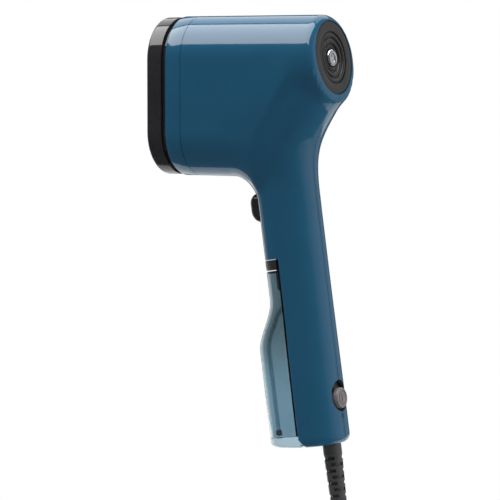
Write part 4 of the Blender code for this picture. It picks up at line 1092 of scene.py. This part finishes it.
# %% Release band
LATCH_TOP_T = BAY_TOP_T - GAP
LATCH_LOW_T = LATCH_TOP_T - 0.0064
LATCH_THICKNESS = 0.0020
LATCH_END_U = -0.0061


def latch_arc(inset):
    depth = SECTION_U - HANDLE_FRONT - inset
    end = math.acos(((SECTION_U - LATCH_END_U) / depth) ** (SECTION_POWER / 2))
    return power_arc(depth, HANDLE_HALF_WIDTH - inset, end, 64)


def latch_mesh():
    edge = 0.0004
    rings = []
    for inset, t in ((edge, LATCH_LOW_T), (0.0001, LATCH_LOW_T + edge * 0.4), (0.0, LATCH_LOW_T + edge),
                     (0.0, LATCH_TOP_T - edge), (0.0001, LATCH_TOP_T - edge * 0.4), (edge, LATCH_TOP_T)):
        rings.append(at_height(latch_arc(inset) + latch_arc(LATCH_THICKNESS)[::-1], t))
    return loft_mesh("release_band", rings)


fit("release_band", latch_mesh(), "tank_latch", HANDLE)
print("band", round((LATCH_TOP_T - LATCH_LOW_T) * 1000, 1), "mm high")

# %% [markdown]
# ## Finishes
#
# Even new plastic is never one flat value. Two effects are shared by all finishes, so each is a node group:
# a slow drift, which shifts colour and roughness a little over the surface, and a fine grain, which gives
# the skin of a moulding or the scratches of a brushed plate.

# %% Shared effects
def add_node(tree, kind, inputs, **settings):
    """A shader node with its settings, and each input as a value or as a link."""
    node = tree.nodes.new("ShaderNode" + kind)
    for label, value in settings.items():
        setattr(node, label, value)
    for label, value in inputs.items():
        if isinstance(value, bpy.types.NodeSocket):
            tree.links.new(value, node.inputs[label])
        else:
            node.inputs[label].default_value = value
    return node


def new_group(name, inputs, output_name, output_type):
    group = bpy.data.node_groups.new(name, "ShaderNodeTree")
    for label, value in inputs:
        socket = group.interface.new_socket(label, in_out="INPUT", socket_type="NodeSocketFloat")
        socket.default_value = value
    group.interface.new_socket(output_name, in_out="OUTPUT", socket_type=output_type)
    entry = group.nodes.new("NodeGroupInput")
    leave = group.nodes.new("NodeGroupOutput")
    return group, entry, leave


def make_drift_group():
    """A value between Low and High that wanders slowly over the surface."""
    group, entry, leave = new_group("surface_drift", (("Scale", 60.0), ("Low", 0.0), ("High", 1.0)),
                                    "Value", "NodeSocketFloat")
    place = add_node(group, "TexCoord", {})
    noise = add_node(group, "TexNoise", {"Vector": place.outputs["Object"], "Scale": entry.outputs["Scale"],
                                         "Detail": 3.0})
    spread = add_node(group, "MapRange", {"Value": noise.outputs["Fac"], "From Min": 0.3, "From Max": 0.7,
                                          "To Min": entry.outputs["Low"], "To Max": entry.outputs["High"]})
    group.links.new(spread.outputs["Result"], leave.inputs["Value"])
    return group


def make_grain_group():
    """A bumped normal; Stretch above 1 draws the grain out along X, as brushing does."""
    group, entry, leave = new_group("fine_grain", (("Scale", 2500.0), ("Depth", 0.00001), ("Stretch", 1.0)),
                                    "Normal", "NodeSocketVector")
    place = add_node(group, "TexCoord", {})
    divide = add_node(group, "Math", {0: 1.0, 1: entry.outputs["Stretch"]}, operation="DIVIDE")
    shape = add_node(group, "CombineXYZ", {"X": divide.outputs["Value"], "Y": 1.0, "Z": 1.0})
    scaled = add_node(group, "VectorMath", {0: place.outputs["Object"], 1: shape.outputs["Vector"]},
                      operation="MULTIPLY")
    noise = add_node(group, "TexNoise", {"Vector": scaled.outputs["Vector"], "Scale": entry.outputs["Scale"],
                                         "Detail": 2.0})
    bump = add_node(group, "Bump", {"Height": noise.outputs["Fac"], "Distance": entry.outputs["Depth"]})
    group.links.new(bump.outputs["Normal"], leave.inputs["Normal"])
    return group


DRIFT = make_drift_group()
GRAIN = make_grain_group()
print("groups", [g.name for g in bpy.data.node_groups])

# %% [markdown]
# A finish is then a short recipe: two near colours that the drift moves between, a range of roughness, and a
# grain. Plain numbers, such as the metal share or the coat, sit on the shader itself.

# %% Recipe for a finish
def finish(slot, dark, light, rough, grain=(2500.0, 0.000004, 1.0), drift=60.0, **sockets):
    material = bpy.data.materials.new(slot)
    material.use_nodes = True
    tree = material.node_tree
    shader = tree.nodes["Principled BSDF"]
    patch = add_node(tree, "Group", {"Scale": drift}, node_tree=DRIFT)
    colour = add_node(tree, "Mix", {"Factor": patch.outputs["Value"], "A": (*dark, 1.0), "B": (*light, 1.0)},
                      data_type="RGBA")
    wear = add_node(tree, "Group", {"Scale": drift * 3.1, "Low": rough[0], "High": rough[1]}, node_tree=DRIFT)
    skin = add_node(tree, "Group", dict(zip(("Scale", "Depth", "Stretch"), grain)), node_tree=GRAIN)
    tree.links.new(colour.outputs["Result"], shader.inputs["Base Color"])
    tree.links.new(wear.outputs["Value"], shader.inputs["Roughness"])
    tree.links.new(skin.outputs["Normal"], shader.inputs["Normal"])
    for label, value in sockets.items():
        shader.inputs[label.replace("_", " ")].default_value = value
    FINISHES[slot] = material
    return material


print("a finish blends two colours and two roughnesses")

# %% [markdown]
# The colours are linear values. Glossy mouldings keep a roughness near 0.1, so that soft boxes show in them
# with crisp edges. The dark satin parts have a deeper grain, like spark-eroded tools leave.

# %% The finishes
finish("casing_blue", (0.0085, 0.059, 0.112), (0.0093, 0.063, 0.118), (0.07, 0.10),
       grain=(900.0, 0.0000010, 1.0), IOR=1.5)
finish("black_gloss", (0.0125, 0.0125, 0.0135), (0.015, 0.015, 0.016), (0.06, 0.10),
       grain=(900.0, 0.0000010, 1.0), IOR=1.5)
finish("dark_plastic", (0.013, 0.013, 0.013), (0.017, 0.0165, 0.017), (0.30, 0.40),
       grain=(5200.0, 0.000022, 1.0), IOR=1.48)
finish("knob_grey", (0.125, 0.112, 0.110), (0.145, 0.130, 0.128), (0.38, 0.46),
       grain=(5200.0, 0.000022, 1.0), IOR=1.48)
finish("chrome", (0.70, 0.70, 0.72), (0.74, 0.74, 0.76), (0.06, 0.12), grain=(1500.0, 0.0000010, 1.0),
       Metallic=1.0)
finish("plate_metal", (0.52, 0.53, 0.55), (0.58, 0.59, 0.60), (0.24, 0.34), grain=(2600.0, 0.000012, 0.04),
       Metallic=1.0)
finish("cast_metal", (0.38, 0.39, 0.40), (0.46, 0.47, 0.48), (0.45, 0.60), grain=(1500.0, 0.000060, 1.0),
       Metallic=1.0)
finish("steel", (0.45, 0.45, 0.46), (0.52, 0.52, 0.53), (0.25, 0.38), Metallic=1.0)
finish("white_plastic", (0.66, 0.66, 0.63), (0.72, 0.72, 0.69), (0.35, 0.45), grain=(4000.0, 0.000010, 1.0))
finish("silicone", (0.50, 0.52, 0.52), (0.56, 0.58, 0.58), (0.30, 0.42), Subsurface_Weight=0.2,
       Subsurface_Scale=0.002)
finish("board_green", (0.012, 0.10, 0.05), (0.020, 0.14, 0.07), (0.25, 0.40), drift=400.0)
finish("copper", (0.42, 0.16, 0.07), (0.56, 0.24, 0.11), (0.22, 0.34), grain=(3000.0, 0.000050, 30.0),
       Metallic=1.0)
finish("cord_black", (0.034, 0.034, 0.035), (0.044, 0.044, 0.045), (0.42, 0.55),
       grain=(4200.0, 0.000020, 1.0))
finish("brass", (0.56, 0.42, 0.20), (0.63, 0.48, 0.24), (0.16, 0.26), grain=(2600.0, 0.000006, 8.0),
       Metallic=1.0)
finish("tank_tint", (0.36, 0.50, 0.575), (0.38, 0.52, 0.595), (0.04, 0.08), grain=(900.0, 0.0000010, 1.0),
       IOR=1.45, Transmission_Weight=1.0)


def paint_shade_upwards(material, colour, low, high):
    """Painted shade: blend the base colour towards a darker one between two heights."""
    tree = material.node_tree
    shader = tree.nodes["Principled BSDF"]
    source = shader.inputs["Base Color"].links[0].from_socket
    place = add_node(tree, "TexCoord", {})
    split = add_node(tree, "SeparateXYZ", {"Vector": place.outputs["Object"]})
    shade_mask = add_node(tree, "MapRange", {"Value": split.outputs["Z"], "From Min": low, "From Max": high},
                     interpolation_type="SMOOTHSTEP")
    blend = add_node(tree, "Mix", {"Factor": shade_mask.outputs["Result"], "A": source, "B": (*colour, 1.0)},
                     data_type="RGBA")
    tree.links.new(blend.outputs["Result"], shader.inputs["Base Color"])


# Painted shade: the tank's colour darkens towards its top.
paint_shade_upwards(FINISHES["tank_tint"], (0.25, 0.335, 0.37), -0.100, -0.045)
print(len(FINISHES), "finishes")

# %% [markdown]
# Every new piece takes the finish of its slot, and so does every working solid that still shows. The working
# solids of springs, tubes and boards already have the right shape, so only their finish changes.

# %% Dress every piece
for piece, slot in waiting:
    piece.data.materials.clear()
    piece.data.materials.append(FINISHES[slot])
for node, item in frame["nodes"].items():
    item.data.materials.clear()
    item.data.materials.append(FINISHES[SLOTS[node]])
print("dressed", len(waiting), "pieces and", len(frame["nodes"]), "nodes")

# %% [markdown]
# ## Studio
#
# Glossy plastic shows its surroundings, so the light is part of the finish. One box hangs above and in front:
# its two edges are the edges of the bright band along the head, and a dimmer one hangs behind it. On the left
# a narrow strip draws the thin line down the grip's front. On the right a card that fades out lights the back
# of the handle, and a card underneath gives the band under the head. Two fill lights add diffuse light and
# don't show in reflections. The surroundings are otherwise dim, and only the view itself and what is seen
# through the tank are white.

# %% Lights
def soft_box(name, centre, target, width, height, radiance):
    light = bpy.data.lights.new(name, "AREA")
    light.shape = "RECTANGLE"
    light.size = width
    light.size_y = height
    light.energy = radiance * math.pi * width * height
    item = bpy.data.objects.new(name, light)
    item.location = centre
    item.rotation_euler = (Vector(target) - Vector(centre)).to_track_quat("-Z", "Y").to_euler()
    item.visible_camera = False
    item.visible_transmission = False
    bpy.context.scene.collection.objects.link(item)
    return item


def level_box(name, low, high, z, radiance):
    """A level box over the x and y range given, facing down."""
    centre = ((low[0] + high[0]) / 2, (low[1] + high[1]) / 2, z)
    item = soft_box(name, centre, (0, 0, 0), high[0] - low[0], high[1] - low[1], radiance)
    item.rotation_euler = (0.0, 0.0, 0.0)
    return item


def fade_across(item, start, end):
    """Light that grows from nothing to full between two shares of the box's width."""
    item.data.use_nodes = True
    tree = item.data.node_tree
    place = add_node(tree, "NewGeometry", {})
    split = add_node(tree, "SeparateXYZ", {"Vector": place.outputs["Parametric"]})
    grow = add_node(tree, "MapRange", {"Value": split.outputs["X"], "From Min": start, "From Max": end},
                    interpolation_type="SMOOTHSTEP")
    tree.links.new(grow.outputs["Result"], tree.nodes["Emission"].inputs["Strength"])


level_box("overhead_box", (-1.50, -0.98), (0.40, 0.22), HEAD_MID + 0.9, 5.6)
level_box("rear_overhead_box", (-1.50, 0.30), (0.40, 1.70), HEAD_MID + 0.9, 1.5)
level_box("under_card", (-1.15, 0.11), (0.25, 1.35), -0.36, 0.9).rotation_euler = (math.pi, 0.0, 0.0)
soft_box("edge_strip", (-1.351, 0.767, -0.03), (-0.08, -0.03, -0.03), 0.14, 1.3, 3.0)
soft_box("left_card", (-1.477, 0.26, -0.03), (0.0, 0.0, -0.03), 0.5, 1.3, 0.45)
right_card = soft_box("right_card", (1.25, 0.25, 0.05), (0.0, 0.0, 0.0), 2.2, 1.7, 0.5)
fade_across(right_card, 0.0, 0.75)
soft_box("rear_card", (0.543, 1.344, 0.05), (0.0, 0.0, 0.0), 0.86, 1.7, 0.28)
right_fill = soft_box("right_fill", (1.26, 0.23, 0.40), (0.0, 0.0, 0.0), 1.0, 1.0, 5.4)
right_fill.visible_glossy = False
front_fill = soft_box("front_fill", (-0.25, -1.20, 0.80), (0.0, 0.0, 0.05), 1.0, 1.0, 1.2)
front_fill.visible_glossy = False

world = bpy.data.worlds.new("studio")
bpy.context.scene.world = world
world.use_nodes = True
tree = world.node_tree
tree.nodes.clear()
path = add_node(tree, "LightPath", {})
either = add_node(tree, "Math", {0: path.outputs["Is Camera Ray"], 1: path.outputs["Is Transmission Ray"]},
                  operation="MAXIMUM")
dim = add_node(tree, "Background", {"Color": (0.9, 0.95, 1.0, 1.0), "Strength": 0.13})
white = add_node(tree, "Background", {"Color": (1.0, 1.0, 1.0, 1.0)})
choose = add_node(tree, "MixShader", {"Fac": either.outputs["Value"], 1: dim.outputs["Background"],
                                      2: white.outputs["Background"]})
add_node(tree, "OutputWorld", {"Surface": choose.outputs["Shader"]})
bpy.context.scene.view_settings.view_transform = "Standard"

# %% [markdown]
# The floor is a plain pale disc under the hanging plug. It doesn't show in reflections, which would turn the
# dark middle of the head milky.

# %% Floor
FLOOR_RADIUS = 0.600
FLOOR_Z = -0.396
floor_profile = [(FLOOR_RADIUS, FLOOR_Z), (FLOOR_RADIUS, -0.400), (0.598, -0.402)]
floor_mesh = turned_mesh("floor", floor_profile, 128)
floor = bpy.data.objects.new("floor", floor_mesh)
floor.visible_glossy = False
bpy.context.scene.collection.objects.link(floor)
floor_paint = bpy.data.materials.new("floor_paint")
floor_paint.use_nodes = True
floor_shader = floor_paint.node_tree.nodes["Principled BSDF"]
floor_shader.inputs["Base Color"].default_value = (0.8, 0.8, 0.8, 1.0)
floor_shader.inputs["Roughness"].default_value = 0.7
floor_mesh.materials.append(floor_paint)
